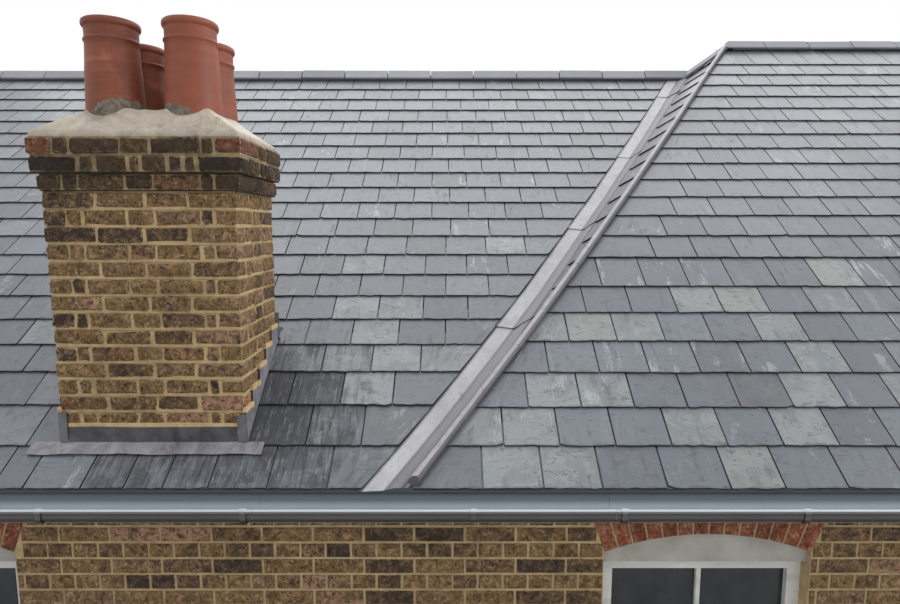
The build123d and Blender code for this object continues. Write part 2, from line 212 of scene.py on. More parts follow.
def box(name, low, high):
    clear()
    middle = [(a + b) / 2 for a, b in zip(low, high)]
    size = [b - a for a, b in zip(low, high)]
    bpy.ops.mesh.primitive_cube_add(size=1, location=middle, scale=size)
    return settle(named(name))


def drawn(name, outline, x0, x1):
    """An outline of (t, z) corners drawn out along x, like a length of gutter."""
    clear()
    bpy.ops.mesh.primitive_circle_add(vertices=len(outline), fill_type="NGON")
    piece = named(name)
    for vertex, (t, z) in zip(piece.data.vertices, outline):
        vertex.co = world(x0, t, z)
    pull(piece, (x1 - x0, 0, 0))
    return done(piece)


def join(name, pieces):
    clear()
    for piece in pieces:
        piece.select_set(True)
    bpy.context.view_layer.objects.active = pieces[0]
    bpy.ops.object.join()
    return named(name)


def mirrored(piece, name):
    """The same piece on the rear slope, turned right side out again."""
    use(piece)
    bpy.ops.object.duplicate()
    copy = named(name)
    bpy.ops.transform.resize(value=(1, -1, 1), center_override=(0, 0, 0))
    settle(copy)
    edit(copy)
    return done(copy)


def moved_back(piece):
    """Takes a piece over to the rear slope."""
    copy = mirrored(piece, piece.name + "_r")
    bpy.data.objects.remove(piece)
    return copy


def coat(piece, finish):
    piece.data.materials.clear()
    piece.data.materials.append(finish)


def finish_piece(piece, finish, slot, *nodes):
    coat(piece, finish)
    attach(piece, "root")
    if nodes:
        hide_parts(*nodes)
    print(piece.name, "faces", len(piece.data.polygons))


def finish_pair(piece, finish, slot, *nodes):
    """Finishes a front piece, and its mirror image for the rear under the name of the rear."""
    rear = mirrored(piece, piece.name.replace("front", "rear"))
    finish_piece(rear, finish, slot, *[node.replace("front", "rear") for node in nodes])
    finish_piece(piece, finish, slot, *nodes)


def marks_of(piece):
    """Room for three marks at every point of a piece, which its material reads."""
    return piece.data.attributes.new("marks", "FLOAT_COLOR", "POINT").data


# %% [markdown]
# Repeated things, such as slates and bricks, are modelled once and then laid in their hundreds.
# Laying them as separate objects would be slow, so `stamp` copies the vertices of the model and
# places each copy with its own function. Each copy also carries three marks that the material
# reads: for a slate its tone, how pale it is and how dirty.

# %% Laying copies of one model


def corners_of(piece):
    points = np.array([vertex.co[:] for vertex in piece.data.vertices])
    faces = [list(face.vertices) for face in piece.data.polygons]
    bpy.data.objects.remove(piece)
    return points, faces


def stamp(name, model, places, flip=False, rim=None, local=None):
    """places holds (function, marks, offset) for each copy; the function moves the points."""
    points, faces = model
    count = len(points)
    spots = np.vstack([move(points) for move, _, _ in places])
    if flip:
        spots[:, 1] *= -1
        faces = [face[::-1] for face in faces]
    all_faces = [[i + k * count for i in face] for k in range(len(places)) for face in faces]
    mesh = bpy.data.meshes.new(name)
    mesh.from_pydata(spots.tolist(), [], all_faces)
    marks = mesh.attributes.new("marks", "FLOAT_COLOR", "POINT")
    colours = np.repeat(np.array([[*m, 1.0] for _, m, _ in places]), count, axis=0)
    marks.data.foreach_set("color", colours.astype(np.float32).ravel())
    if rim is not None:
        edge = mesh.attributes.new("rim", "FLOAT", "POINT")
        edge.data.foreach_set("value", np.tile(rim, len(places)).astype(np.float32))
    if local is not None:
        layer = mesh.attributes.new("local", "FLOAT_VECTOR", "POINT")
        layer.data.foreach_set("vector", np.tile(local, (len(places), 1)).astype(np.float32).ravel())
    flat = np.tile(points[:, :2], (len(places), 1))
    shift = np.repeat(np.array([o for _, _, o in places], float), count, axis=0)
    loops = np.zeros(len(mesh.loops), np.int32)
    mesh.loops.foreach_get("vertex_index", loops)
    layer = mesh.uv_layers.new(name="face")
    layer.data.foreach_set("uv", (flat + shift)[loops].astype(np.float32).ravel())
    mesh.update()
    piece = bpy.data.objects.new(name, mesh)
    bpy.context.scene.collection.objects.link(piece)
    return piece


# %% [markdown]
# Materials are written as sums. `Wire` is one socket, and adding or multiplying wires adds the
# Math nodes. `Finish` holds a material and adds every other node through its one method `node`.
# Colours are written as they look on screen, from 0 to 255, and turned to linear light.

# %% Shader maths


class Wire:
    def __init__(self, tree, socket):
        self.tree, self.socket = tree, socket

    def maths(self, operation, other=None, swap=False, clamp=False):
        node = self.tree.nodes.new("ShaderNodeMath")
        node.operation, node.use_clamp = operation, clamp
        values = [self] if other is None else ([other, self] if swap else [self, other])
        for socket, value in zip(node.inputs, values):
            if isinstance(value, Wire):
                self.tree.links.new(value.socket, socket)
            else:
                socket.default_value = value
        return Wire(self.tree, node.outputs[0])

    def __add__(self, other):
        return self.maths("ADD", other)

    __radd__ = __add__

    def __sub__(self, other):
        return self.maths("SUBTRACT", other)

    def __rsub__(self, other):
        return self.maths("SUBTRACT", other, swap=True)

    def __mul__(self, other):
        return self.maths("MULTIPLY", other)

    __rmul__ = __mul__

    def __truediv__(self, other):
        return self.maths("DIVIDE", other)

    def clip(self):
        return self.maths("MULTIPLY", 1.0, clamp=True)

    def size(self):
        return self.maths("ABSOLUTE")

    def step(self, low, high):
        """0 below low, 1 above high and a straight ramp between them."""
        return ((self - low) * (1.0 / (high - low))).clip()


def colour(red, green, blue):
    def linear(value):
        value = value / 255
        return value / 12.92 if value <= 0.04045 else ((value + 0.055) / 1.055) ** 2.4
    return (linear(red), linear(green), linear(blue), 1.0)


class Finish:
    def __init__(self, name, **constants):
        self.material = bpy.data.materials.new(name)
        self.material.use_nodes = True
        self.tree = self.material.node_tree
        self.shader = self.tree.nodes["Principled BSDF"]
        for key, value in constants.items():
            self.shader.inputs[key.replace("_", " ")].default_value = value

    def node(self, kind, settings=None, sockets=None, out=0):
        node = self.tree.nodes.new("ShaderNode" + kind)
        for key, value in (settings or {}).items():
            if key == "stops":
                ramp = node.color_ramp
                while len(ramp.elements) < len(value):
                    ramp.elements.new(0.5)
                for element, (spot, tint) in zip(ramp.elements, value):
                    element.position, element.color = spot, tint
            else:
                setattr(node, key, value)
        for key, value in (sockets or {}).items():
            self.put(node.inputs[key], value)
        return Wire(self.tree, node.outputs[out])

    def put(self, socket, value):
        if isinstance(value, Wire):
            self.tree.links.new(value.socket, socket)
        else:
            socket.default_value = value

    def mix(self, factor, first, second):
        settings = {"data_type": "RGBA"}
        return self.node("Mix", settings, {0: factor, 6: first, 7: second}, out=2)

    def spot(self):
        return self.node("TexCoord", out="Object")

    def scaled(self, vector, scale):
        return self.node("Mapping", None, {"Vector": vector, "Scale": scale})

    def noise(self, vector, scale, detail=3.0, rough=0.55, warp=0.0):
        sockets = {"Vector": vector, "Scale": scale, "Detail": detail, "Roughness": rough}
        return self.node("TexNoise", None, {**sockets, "Distortion": warp})

    def parts(self, kind, sockets):
        """All the outputs of a node that takes a colour or a vector apart."""
        node = self.node(kind, None, sockets).socket.node
        return [Wire(self.tree, socket) for socket in node.outputs]

    def read(self, name, out):
        """What the mesh carries under this name."""
        return self.node("Attribute", {"attribute_name": name}, out=out)

    def marks(self):
        return self.parts("SeparateColor", {"Color": self.read("marks", "Color")})

    def bump(self, height, depth):
        sockets = {"Height": height, "Distance": depth, "Strength": 1.0}
        self.put(self.shader.inputs["Normal"], self.node("Bump", None, sockets))

    def set(self, **sockets):
        for key, value in sockets.items():
            self.put(self.shader.inputs[key.replace("_", " ")], value)
        return self.material


print("helpers ready")

# %% [markdown]
# Riven slate is blue grey with a fine grain. Some slates show a pale green grey skin crossed by
# thin dark clefts, many carry white scuffs from handling, and near the chimney they are still wet
# and dirty, with light streaks on them as painted highlight. Along the tails, beside the joints and
# on the slates' sides the colour is darkened as painted shade. The pattern follows each slate
# through its own map, so no two slates match.

# %% Slate


def slate_material():
    f = Finish("slate", Roughness=0.55, IOR=1.45, Coat_Roughness=0.30, Coat_IOR=1.8)
    face = f.node("UVMap", {"uv_map": "face"})
    tone, pale, dirt = f.marks()
    edge = f.read("rim", "Fac")
    across, tail, _ = f.parts("SeparateXYZ", {"Vector": f.read("local", "Vector")})
    joint = (0.5 - (across - 0.5).size()) * SLATE_WIDTH
    cloud = f.noise(face, 7.0, 4.0, 0.6, 0.3)
    grain = f.noise(f.scaled(face, (60, 22, 60)), 1.0, 4.0, 0.65)
    turned = f.node("Mapping", None, {"Vector": face, "Rotation": (0, 0, 0.7), "Scale": (6, 22, 1)})
    riven = f.noise(turned, 1.0, 4.0, 0.55, 1.2)
    streak = f.noise(f.scaled(face, (38, 4.5, 1)), 1.0, 4.0, 0.65, 0.6)
    smear = f.noise(f.scaled(face, (11, 4.0, 1)), 1.0, 3.0, 0.6, 0.8)
    fleck = f.noise(face, 95.0, 2.0, 0.7)
    patch = f.noise(face, 15.0, 4.0, 0.65, 0.8)
    base = f.mix((tone * 0.85 + cloud * 0.5 - 0.17).clip(), colour(73, 79, 87), colour(112, 119, 128))
    base = f.mix((grain - 0.35).clip() * 0.4, base, colour(66, 69, 75))
    warm = (tone - 0.5).size().step(0.30, 0.44)
    base = f.mix(warm * (cloud - 0.35).step(0.0, 0.3) * 0.30, base, colour(122, 112, 112))
    skin = (pale * 1.25 + (patch - 0.5) * 1.3 - 0.12).step(0.22, 0.62)
    light = f.mix(warm, colour(136, 141, 141), colour(138, 138, 134))
    light = f.mix((cloud - 0.48).step(0.0, 0.12) * 0.7, light, colour(108, 113, 114))
    base = f.mix(skin * 0.80, base, light)
    cleft = (0.020 - (riven - 0.5).size()).step(0.0, 0.012) * (fleck * 0.3 + patch * 0.7).step(0.49, 0.55)
    base = f.mix(cleft * (0.35 + skin * 0.25), base, colour(44, 46, 50))
    scuff = (streak * 0.8 + patch * 0.25 + (fleck - 0.5) * 0.25).step(0.625, 0.69)
    broad = (smear * 0.80 + streak * 0.25 + (fleck - 0.5) * 0.25).step(0.61, 0.66)
    luck = f.noise(face, 0.37, 0.0).step(0.52, 0.64)
    handled = ((scuff * 0.4 + broad * 0.75) * (luck * 0.85 + 0.15)).clip()
    base = f.mix(handled * 0.76, base, colour(172, 177, 182))
    wet = (dirt + (streak - 0.5) * 2.2 + (cloud - 0.5) * 1.5).step(0.18, 0.95)
    base = f.mix(wet * 0.78, base, colour(42, 43, 46))
    # painted highlight: light streaks on the wet, dirty slates stand for reflection on the wet film
    wet_glint_streaks = f.noise(f.scaled(face, (90, 5.0, 1)), 1.0, 4.0, 0.7, 0.8)
    wet_glint_streaks = (wet_glint_streaks + (patch - 0.5) * 0.6).step(0.56, 0.66)
    base = f.mix(dirt.step(0.2, 0.6) * wet_glint_streaks * 0.45, base, colour(150, 152, 156))
    # painted shade: a ragged dark line along each tail and a thin one beside each joint, where the slates
    # shade one another
    ragged_tail_shade = (0.006 - tail + (patch - 0.5) * 0.030 + (fleck - 0.5) * 0.010).step(0.0, 0.003)
    lined = (0.0030 - joint + (fleck - 0.5) * 0.006).step(0.0, 0.0015)
    base = f.mix((ragged_tail_shade * 0.5 + lined * 0.7).clip(), base, colour(44, 46, 50))
    # painted shade: the slates' sides and tail faces drawn near black towards their underside
    base = f.mix(edge.step(0.0, 0.30) * 0.95, base, colour(18, 19, 22))
    f.bump(riven * 0.7 + grain * 0.2 - cleft * 0.5 + cloud * 0.5 - ragged_tail_shade * 0.4, 0.0034)
    sheen = (1 - wet * 0.8 - edge.step(0.0, 0.3)).clip() * 0.62
    rough = (0.50 + grain * 0.12 + edge * 0.3).clip()
    return f.set(Base_Color=base, Coat_Weight=sheen, Roughness=rough)


SLATE = slate_material()
print(SLATE.name)

# %% [markdown]
# The other finishes: smooth grey ridge tiles, new lead with a chalky bloom and darker stains, in
# places painted in shade or light, yellow stock brick with black specks and mortar smeared over its
# edges, sandy mortar, red clay, gutter paint with painted highlight and shade, pale stone, softwood
# and window glass.

# %% Ridge tile, lead and paint


def ridge_material():
    f = Finish("ridge_tile", Roughness=0.55, IOR=1.5)
    spot = f.spot()
    tone, under = f.marks()[0], f.read("rim", "Fac")
    cloud = f.noise(spot, 5.0, 4.0, 0.6)
    grain = f.noise(spot, 140.0, 3.0, 0.6)
    base = f.mix((tone * 0.5 + cloud * 0.5).step(0.2, 0.8), colour(130, 133, 138), colour(157, 159, 162))
    base = f.mix((grain - 0.4) * 0.4, base, colour(96, 99, 104))
    # painted shade: the lower edge and underside of each wing drawn dark
    base = f.mix(under.step(0.0, 0.5) * 0.9, base, colour(44, 45, 48))
    f.bump(grain + cloud * 0.8, 0.0012)
    return f.set(Base_Color=base, Roughness=0.5 + grain * 0.15)


def lead_material(name, bright, dull, metal=0.15, stain=0.4, valley=False, roll=False):
    f = Finish(name, Metallic=metal, IOR=1.5)
    spot = f.spot()
    broad = f.noise(spot, 3.2, 4.0, 0.6, 0.5)
    blotch = f.noise(f.scaled(spot, (14, 9, 9)), 1.0, 5.0, 0.62, 0.8)
    fine = f.noise(spot, 75.0, 3.0, 0.6)
    dents = f.noise(spot, 11.0, 2.0, 0.5)
    base = f.mix((blotch * 0.6 + broad * 0.4).step(0.36, 0.62), dull, bright)
    mark = (blotch + (fine - 0.5) * 0.3).step(0.62, 0.70)
    base = f.mix(mark * stain, base, colour(88, 86, 90))
    if valley:  # the first mark runs across the sheet, from the left slates to the hip
        run = f.marks()[0]
        # painted shade across the sheet: the upstand darker, partly lifted by a lighter band, a dark line
        # beside the roll, and at the left a near black line of painted shadow under the cut slates
        upright = (run + (blotch - 0.5) * 0.06).step(0.43, 0.47)
        base = f.mix(upright * 0.9, base, colour(104, 103, 107))
        base = f.mix((run.step(0.52, 0.60) - run.step(0.78, 0.84)) * 0.35, base, colour(150, 149, 154))
        base = f.mix((run.step(0.84, 0.87) - run.step(0.90, 0.93)) * 0.8, base, colour(52, 51, 54))
        base = f.mix((1 - run.step(0.08, 0.14)) * 0.92, base, colour(26, 26, 29))
    if roll:  # and on the roll it is the side painted in shade
        base = f.mix((f.marks()[0] + (blotch - 0.5) * 0.5).step(0.35, 0.75) * 0.85, base, colour(62, 59, 62))
    f.bump(dents + blotch * 0.25 + fine * 0.05, 0.004)
    return f.set(Base_Color=base, Roughness=0.36 + blotch * 0.22)


def paint_material(name, base, rough=0.38, inside=False):
    f = Finish(name, IOR=1.5)
    spot = f.spot()
    dust = f.noise(f.scaled(spot, (3, 12, 12)), 1.0, 4.0, 0.6)
    spray = f.noise(spot, 160.0, 2.0, 0.6)
    shade = f.mix(dust.step(0.35, 0.7) * 0.35, base, colour(108, 108, 106))
    if inside:  # the gutter's face, lip and trough, told apart by their height and painted in light and shade
        _, y, z = f.parts("SeparateXYZ", {"Vector": spot})
        z = z - EAVES
        out = y.size() - RUN
        # painted shade in a groove of the face, a lighter band on the lip, a painted highlight along its top
        # and painted shade under the foot
        shade = f.mix((z + 0.0905).step(0.0, 0.001), shade, colour(46, 43, 44))
        shade = f.mix((z + 0.0865).step(0.0, 0.001), shade, colour(116, 117, 122))
        shade = f.mix((z + 0.0765).step(0.0, 0.002), shade, colour(212, 216, 220))
        shade = f.mix((-0.1115 - z).step(0.0, 0.002), shade, colour(40, 37, 34))
        # painted light and shade on the trough's back wall: dark under the slates, lighter lower down
        deep = f.mix((-0.082 - z).step(0.0, 0.028), colour(140, 151, 158), colour(226, 234, 241))
        deep = f.mix((z + 0.070).step(0.0, 0.014), deep, colour(112, 123, 130))
        within = (0.0505 - out).step(0.0, 0.003) * (0.1230 + z * 0.730 - out * 0.683).step(0.0, 0.001)
        shade = f.mix(within, shade, deep)
    shade = f.mix(spray.step(0.66, 0.74) * 0.3, shade, colour(70, 68, 66))
    f.bump(dust + spray * 0.2, 0.0005)
    return f.set(Base_Color=shade, Roughness=rough + dust * 0.15)


RIDGE = ridge_material()
LEAD_SOLE = lead_material("lead_sole", colour(188, 187, 191), colour(160, 159, 164), valley=True)
LEAD = lead_material("lead", colour(132, 131, 136), colour(100, 99, 104), 0.2)
# painted shade: the apron's upstand is the same lead as its skirt, drawn darker
LEAD_SHADED = lead_material("lead_painted_shade", colour(94, 93, 96), colour(46, 45, 48), 0.2, 0.3)
LEAD_FOLD = lead_material("lead_fold", colour(122, 121, 126), colour(78, 77, 81), 0.2)
LEAD_ROLL = lead_material("lead_roll", colour(176, 173, 179), colour(146, 143, 149), stain=0.3, roll=True)
LEAD_SKIRT = lead_material("lead_skirt", colour(164, 162, 166), colour(98, 96, 100), stain=0.6)
# painted light: a lighter copy of the lead for the steps, which face sideways
LEAD_STEPS_LIT = lead_material("lead_steps_painted_light", colour(152, 150, 154), colour(104, 102, 106))
GUTTER = paint_material("gutter_paint", colour(72, 68, 66), 0.28, inside=True)
TRIM = paint_material("trim_paint", colour(112, 116, 122))
FRAME_PAINT = paint_material("white_paint", colour(222, 221, 216), 0.32)
print("ridge, lead and paint")

# %% Brick and mortar


def brick_material(name, stops, speck=0.6, smear=0.85):
    f = Finish(name, Roughness=0.9, IOR=1.45)
    spot = f.spot()
    tone, red, soot = f.marks()
    broad = f.noise(spot, 14.0, 4.0, 0.65, 0.8)
    patch = f.noise(spot, 38.0, 4.0, 0.7, 0.6)
    ragged = f.noise(spot, 75.0, 4.0, 0.65, 0.5)
    grit = f.noise(spot, 240.0, 3.0, 0.7)
    burnt = (tone + (broad - 0.5) * 1.15 + (patch - 0.5) * 0.5).clip()
    base = f.node("ValToRGB", {"stops": stops}, {"Fac": burnt})
    base = f.mix(red * 0.85, base, colour(112, 62, 46))
    fine = f.noise(spot, 115.0, 3.0, 0.7, 0.4)
    worn = (patch * 0.6 + fine * 0.4 - 0.52).step(0.0, 0.10)
    worn = worn * (tone.step(-0.10, 0.40) * 0.85 - red * 0.4).clip()
    base = f.mix(worn, base, colour(186, 152, 118))
    base = f.mix((0.49 - patch * 0.55 - fine * 0.45).step(0.0, 0.10) * 0.7, base, colour(40, 28, 17))
    base = f.mix((grit - 0.35).clip() * 0.7, base, colour(50, 36, 24))
    hole = (f.noise(spot, 58.0, 2.0, 0.5) + (ragged - 0.5) * 0.1 + (tone - 0.5) * 0.04).step(0.630, 0.665)
    base = f.mix(hole * speck, base, colour(24, 20, 16))
    black = (soot * 1.3 + (broad - 0.5) * 1.6).step(0.3, 0.75)
    base = f.mix(black * 0.80, base, colour(30, 23, 17))
    smeared = (ragged - 0.5) * 1.9 + (broad - 0.5) + (1 - f.read("rim", "Fac")) * 0.62
    mortar = smeared.step(0.47, 0.56)
    # painted shade: a dark line where the smeared mortar meets the brick, round the brick's edges
    edge = smeared.step(0.38, 0.46) - mortar
    base = f.mix(edge * 0.75, base, colour(32, 25, 19))
    paste = f.mix(black * 0.6 + patch * 0.3, colour(172, 150, 112), colour(92, 78, 60))
    base = f.mix(mortar * smear, base, paste)
    f.bump(patch * 0.6 + grit * 0.25 + ragged * 0.5 - hole + mortar * 0.35, 0.0055)
    return f.set(Base_Color=base)


def mortar_material(name, light, dark, depth=0.003, rough=0.95, joint=False, soffit_shade=False):
    f = Finish(name, Roughness=rough, IOR=1.45)
    spot = f.spot()
    broad = f.noise(spot, 4.0, 5.0, 0.65, 0.4)
    patch = f.noise(spot, 30.0, 4.0, 0.65)
    sand = f.noise(spot, 260.0, 3.0, 0.7)
    base = f.mix((broad * 0.55 + patch * 0.45).step(0.36, 0.64), dark, light)
    base = f.mix((sand - 0.45) * 0.5, base, dark)
    drop = EAVES + BRICK_TOP - f.parts("SeparateXYZ", {"Vector": spot})[2]
    if soffit_shade:  # painted shadow under each of the stepped courses
        rise = ((drop + 0.0055) / COURSE).maths("FRACT") * COURSE
        below = (drop - 1.5 * COURSE).step(0.0, 0.01)
        base = f.mix((0.0125 - rise).step(0.0, 0.003) * below * 0.9, base, colour(24, 18, 12))
    if joint:  # a shadow at the top of each bed joint
        rise = ((drop - 0.0053) / COURSE).maths("FRACT") * COURSE
        base = f.mix((0.0045 - rise).step(0.0, 0.0025) * 0.6, base, colour(66, 52, 36))
    if rough < 0.9:  # trowelled smooth, and cracked
        crack = (0.004 - (f.noise(spot, 5.0, 3.0, 0.55, 1.0) - 0.5).size()).step(0.0, 0.003)
        base = f.mix(crack * (patch - 0.42).step(0.0, 0.1) * 0.75, base, colour(70, 62, 54))
        base = f.mix((0.44 - broad).step(0.0, 0.06) * 0.4, base, colour(122, 112, 100))
    f.bump(patch + sand * 0.4 + broad * 0.6, depth)
    return f.set(Base_Color=base)


STOCK_TONES = [
    (0.0, colour(58, 46, 37)), (0.18, colour(94, 73, 52)), (0.38, colour(122, 94, 62)),
    (0.58, colour(138, 109, 66)), (0.74, colour(116, 90, 66)), (0.88, colour(144, 110, 84)),
    (1.0, colour(168, 126, 100)),
]
RED_TONES = [(0.0, colour(104, 58, 44)), (0.5, colour(140, 74, 52)), (1.0, colour(160, 96, 70))]
STOCK = brick_material("stock_brick", STOCK_TONES)
RED = brick_material("red_brick", RED_TONES, 0.15, 0.3)
MORTAR = mortar_material("mortar", colour(198, 172, 130), colour(150, 128, 94))
STACK_MORTAR = mortar_material("stack_mortar", colour(206, 178, 132), colour(156, 131, 94), joint=True)
POINTING = mortar_material("pointing_mortar", colour(214, 186, 142), colour(178, 150, 108))
# the ridge bed is coloured dark as painted shade under the ridge tiles
SHADED_BED = mortar_material("bed_mortar_painted_shade", colour(92, 90, 88), colour(62, 61, 60))
SOOTY_SHADED = mortar_material("sooty_mortar_with_painted_shadow", colour(186, 163, 124), colour(96, 80, 58), soffit_shade=True)
FLAUNCH = mortar_material("flaunching_mortar", colour(208, 197, 180), colour(160, 148, 131), 0.0035, 0.42)
print("brick and mortar")

# %% Clay, stone, wood and glass


def clay_material():
    f = Finish("terracotta", Roughness=0.6, IOR=1.45)
    spot = f.spot()
    cement, soot, right_pot_light = f.marks()
    turned = f.noise(f.scaled(spot, (3, 3, 26)), 1.0, 4.0, 0.6)
    broad = f.noise(spot, 6.0, 5.0, 0.6, 0.6)
    grain = f.noise(spot, 120.0, 3.0, 0.65)
    ragged = f.noise(spot, 34.0, 4.0, 0.65, 0.6)
    base = f.mix((turned * 0.4 + broad * 0.6).step(0.36, 0.64), colour(108, 54, 36), colour(144, 78, 54))
    base = f.mix((grain - 0.42).clip() * 0.6, base, colour(80, 44, 34))
    # painted light: the right-hand pots drawn lighter, as the light that falls on them
    base = f.mix(right_pot_light * 0.22, base, colour(188, 104, 78))
    bloom = (broad * 0.6 + turned * 0.4).step(0.58, 0.70)
    base = f.mix(bloom * 0.35, base, colour(176, 122, 100))
    speck = (ragged + (grain - 0.5) * 0.4).step(0.70, 0.74)
    base = f.mix(speck * 0.6, base, colour(70, 50, 42))
    black = (soot + (ragged - 0.5)).step(0.45, 0.75)
    base = f.mix(black * 0.7, base, colour(52, 38, 34))
    paste = (cement + (ragged - 0.5) * 0.45 + (broad - 0.5) * 0.3).step(0.50, 0.56)
    base = f.mix(paste, base, f.mix(ragged.step(0.4, 0.6), colour(92, 85, 76), colour(132, 122, 108)))
    f.bump(turned * 0.5 + grain * 0.3 + paste * 0.8, 0.003)
    return f.set(Base_Color=base, Roughness=0.46 + grain * 0.15 + paste * 0.35)


def stone_material():
    f = Finish("pale_stone", Roughness=0.85, IOR=1.45)
    spot = f.spot()
    broad = f.noise(spot, 5.0, 5.0, 0.6)
    grain = f.noise(spot, 180.0, 3.0, 0.6)
    base = f.mix(broad.step(0.35, 0.65), colour(150, 147, 138), colour(180, 177, 168))
    base = f.mix((grain - 0.45) * 0.5, base, colour(116, 112, 104))
    f.bump(broad + grain * 0.3, 0.002)
    return f.set(Base_Color=base)


def wood_material():
    f = Finish("softwood", Roughness=0.75, IOR=1.45)
    spot = f.spot()
    rings = f.noise(f.scaled(spot, (26, 2.2, 26)), 1.0, 4.0, 0.6, 0.7)
    pores = f.noise(f.scaled(spot, (160, 9, 160)), 1.0, 3.0, 0.6)
    base = f.mix(rings.step(0.36, 0.64), colour(158, 118, 78), colour(196, 158, 112))
    base = f.mix((pores - 0.45) * 0.6, base, colour(120, 84, 52))
    f.bump(rings + pores * 0.5, 0.001)
    return f.set(Base_Color=base)


def glass_material():
    f = Finish("window_glass", Roughness=0.06, IOR=1.5)
    spot = f.spot()
    dust = f.noise(spot, 9.0, 4.0, 0.6)
    base = f.mix(dust.step(0.4, 0.7) * 0.4, colour(34, 38, 42), colour(66, 70, 74))
    f.bump(dust, 0.0006)
    return f.set(Base_Color=base, Roughness=0.05 + dust * 0.12)


CLAY, STONE, WOOD, GLASS = clay_material(), stone_material(), wood_material(), glass_material()
WALLS = ("front_wall", "rear_wall", "left_party_wall", "right_party_wall", "window_arches")
TIMBER = ("wall_plates", "ceiling_joists", "rafters_front", "rafters_rear", "ridge_boards",
          "hip_and_valley_rafters", "hip_slope_boards", "valley_boards")
for finish, names in ((WOOD, TIMBER), (MORTAR, WALLS), (STACK_MORTAR, ("chimney_shaft",)),
                      (MORTAR, ("oversail_course_lower", "oversail_course_upper")),
                      (TRIM, ("front_fascia", "rear_fascia")), (GUTTER, ("gutter_brackets",)),
                      (STONE, ("window_heads",)), (FRAME_PAINT, ("window_frames",)),
                      (GLASS, ("window_panes",))):
    for name in names:
        coat(NODES[name], finish)
print("finishes on the nodes that are shown as they come")

# %% [markdown]
# Slates are laid in rows. Each row's tails lie a gauge of 208 mm above the row below, and every
# slate sinks 10 mm in that distance, so the tails stand up like steps. `Slope` turns a place on a
# roof plane, given along, up and out, into a place in the world. The model slate is a small grid
# pulled down into a plate, and `slate` bends each copy: a ragged tail, a slight twist, its own
# thickness, and sides that follow the joint, the valley or the hip.

# %% One slate


class Slope:
    def __init__(self, origin, along, up):
        self.origin, self.along, self.up = (np.array(v, float) for v in (origin, along, up))
        self.out = np.cross(self.along, self.up)

    def place(self, x, s, w):
        return self.origin + np.outer(x, self.along) + np.outer(s, self.up) + np.outer(w, self.out)


LEFT = Slope(world(0, 0, 0), (1, 0, 0), (0, cos(LEFT_PITCH), sin(LEFT_PITCH)))
RIGHT = Slope(world(0, 0, 0), (1, 0, 0), (0, cos(RIGHT_PITCH), sin(RIGHT_PITCH)))


def slate_model():
    clear()
    bpy.ops.mesh.primitive_grid_add(x_subdivisions=8, y_subdivisions=3, size=1, location=(0.5, 0.5, 0))
    piece = bpy.context.object
    pull(piece, (0, 0, -1))
    points, faces = corners_of(settle(done(piece)))
    return points * (SLATE_WIDTH, SLATE_LENGTH, 1), faces


SLATE_MODEL = slate_model()
SLATE_RIM = (SLATE_MODEL[0][:, 2] < -0.5).astype(float)
SLATE_LOCAL = SLATE_MODEL[0] / (SLATE_WIDTH, 1, 1)


def slate(slope, tail, left, right, length=SLATE_LENGTH, lift=0.0, gauge=GAUGE):
    """left and right give the slate's sides as x for any height s up the slope."""
    edge = rng.normal(0, 0.0015, 9)
    if rng.random() < 0.12:
        edge[rng.choice([0, 8])] += rng.uniform(0.004, 0.011)
    lean = rng.normal(0, 0.0012)
    twist, cup = rng.normal(0, 0.0006), rng.normal(0, 0.0005)
    thick = rng.uniform(0.0062, 0.0088)

    def move(points):
        u = points[:, 0] / SLATE_WIDTH
        v = points[:, 1] * length / SLATE_LENGTH
        near = np.clip(1 - points[:, 1] / 0.095, 0, 1)  # 1 at the tail, 0 from the first cut on
        s = tail + v + near * (edge[np.rint(u * 8).astype(int)] + lean * (u - 0.5))
        x = left(s) + u * (right(s) - left(s))
        top = lift - v / gauge * 0.0100 + near * twist * (2 * u - 1) + cup * (4 * (u - 0.5) ** 2 - 0.5)
        return slope.place(x, s, np.where(points[:, 2] < -0.5, top - thick, top))

    return move


print("slate faces", len(SLATE_MODEL[1]))

# %% [markdown]
# The joints of the front rows were read off the photograph at the eaves, and above that they
# repeat every 253 mm, each row half a slate along. Slates at the valley and at the hip are cut to
# its line. Some slates are known by their place: the pale green ones and the ones made wet and
# dirty below the chimney.

# %% Rows of slates
ROW_0_LEFT = (-1.959, -1.825, -1.580, -1.396, -1.229, -1.036, -0.783, -0.524)
ROW_0_RIGHT = (0.140, 0.401, 0.652, 0.931, 1.200, 1.435, 1.704)
SPACING = 0.253
LEFT_ROWS, RIGHT_ROWS = 21, 21
LEFT_DRIFT = ((0, 0.0), (1, 0.009), (2, 0.033), (3, 0.037), (4, 0.020), (5, 0.006), (8, -0.031),
              (12, -0.065), (15, -0.057), (18, -0.018), (20, 0.013))
RIGHT_DRIFT = ((0, 0.0), (6, 0.004), (7, 0.049), (20, 0.053))
# single pale slates: x, height up the slope and how pale
PALE_LEFT = ((-0.52, 1.13, 1.0), (-0.39, 0.94, 0.7), (-0.27, 0.75, 0.8), (-0.41, 0.55, 0.8),
             (-0.52, 0.75, 0.5), (0.34, 1.73, 0.8))
PALE_RIGHT = ((0.75, 0.91, 0.9), (0.54, 0.91, 0.6), (0.54, 0.52, 1.0), (0.76, 0.52, 0.8),
              (0.40, 0.31, 0.8), (0.14, 0.31, 0.7), (0.26, 0.10, 0.8), (0.53, 0.10, 0.6),
              (1.11, 0.32, 0.6), (1.38, 1.07, 0.7), (1.75, 0.52, 0.9), (1.65, 0.30, 0.9),
              (1.30, 0.11, 0.7), (1.69, 0.92, 0.6), (1.57, 1.14, 0.7), (2.30, 1.39, 0.8),
              (2.16, 0.55, 0.7), (1.90, 0.73, 0.6), (1.12, 0.91, 0.6))


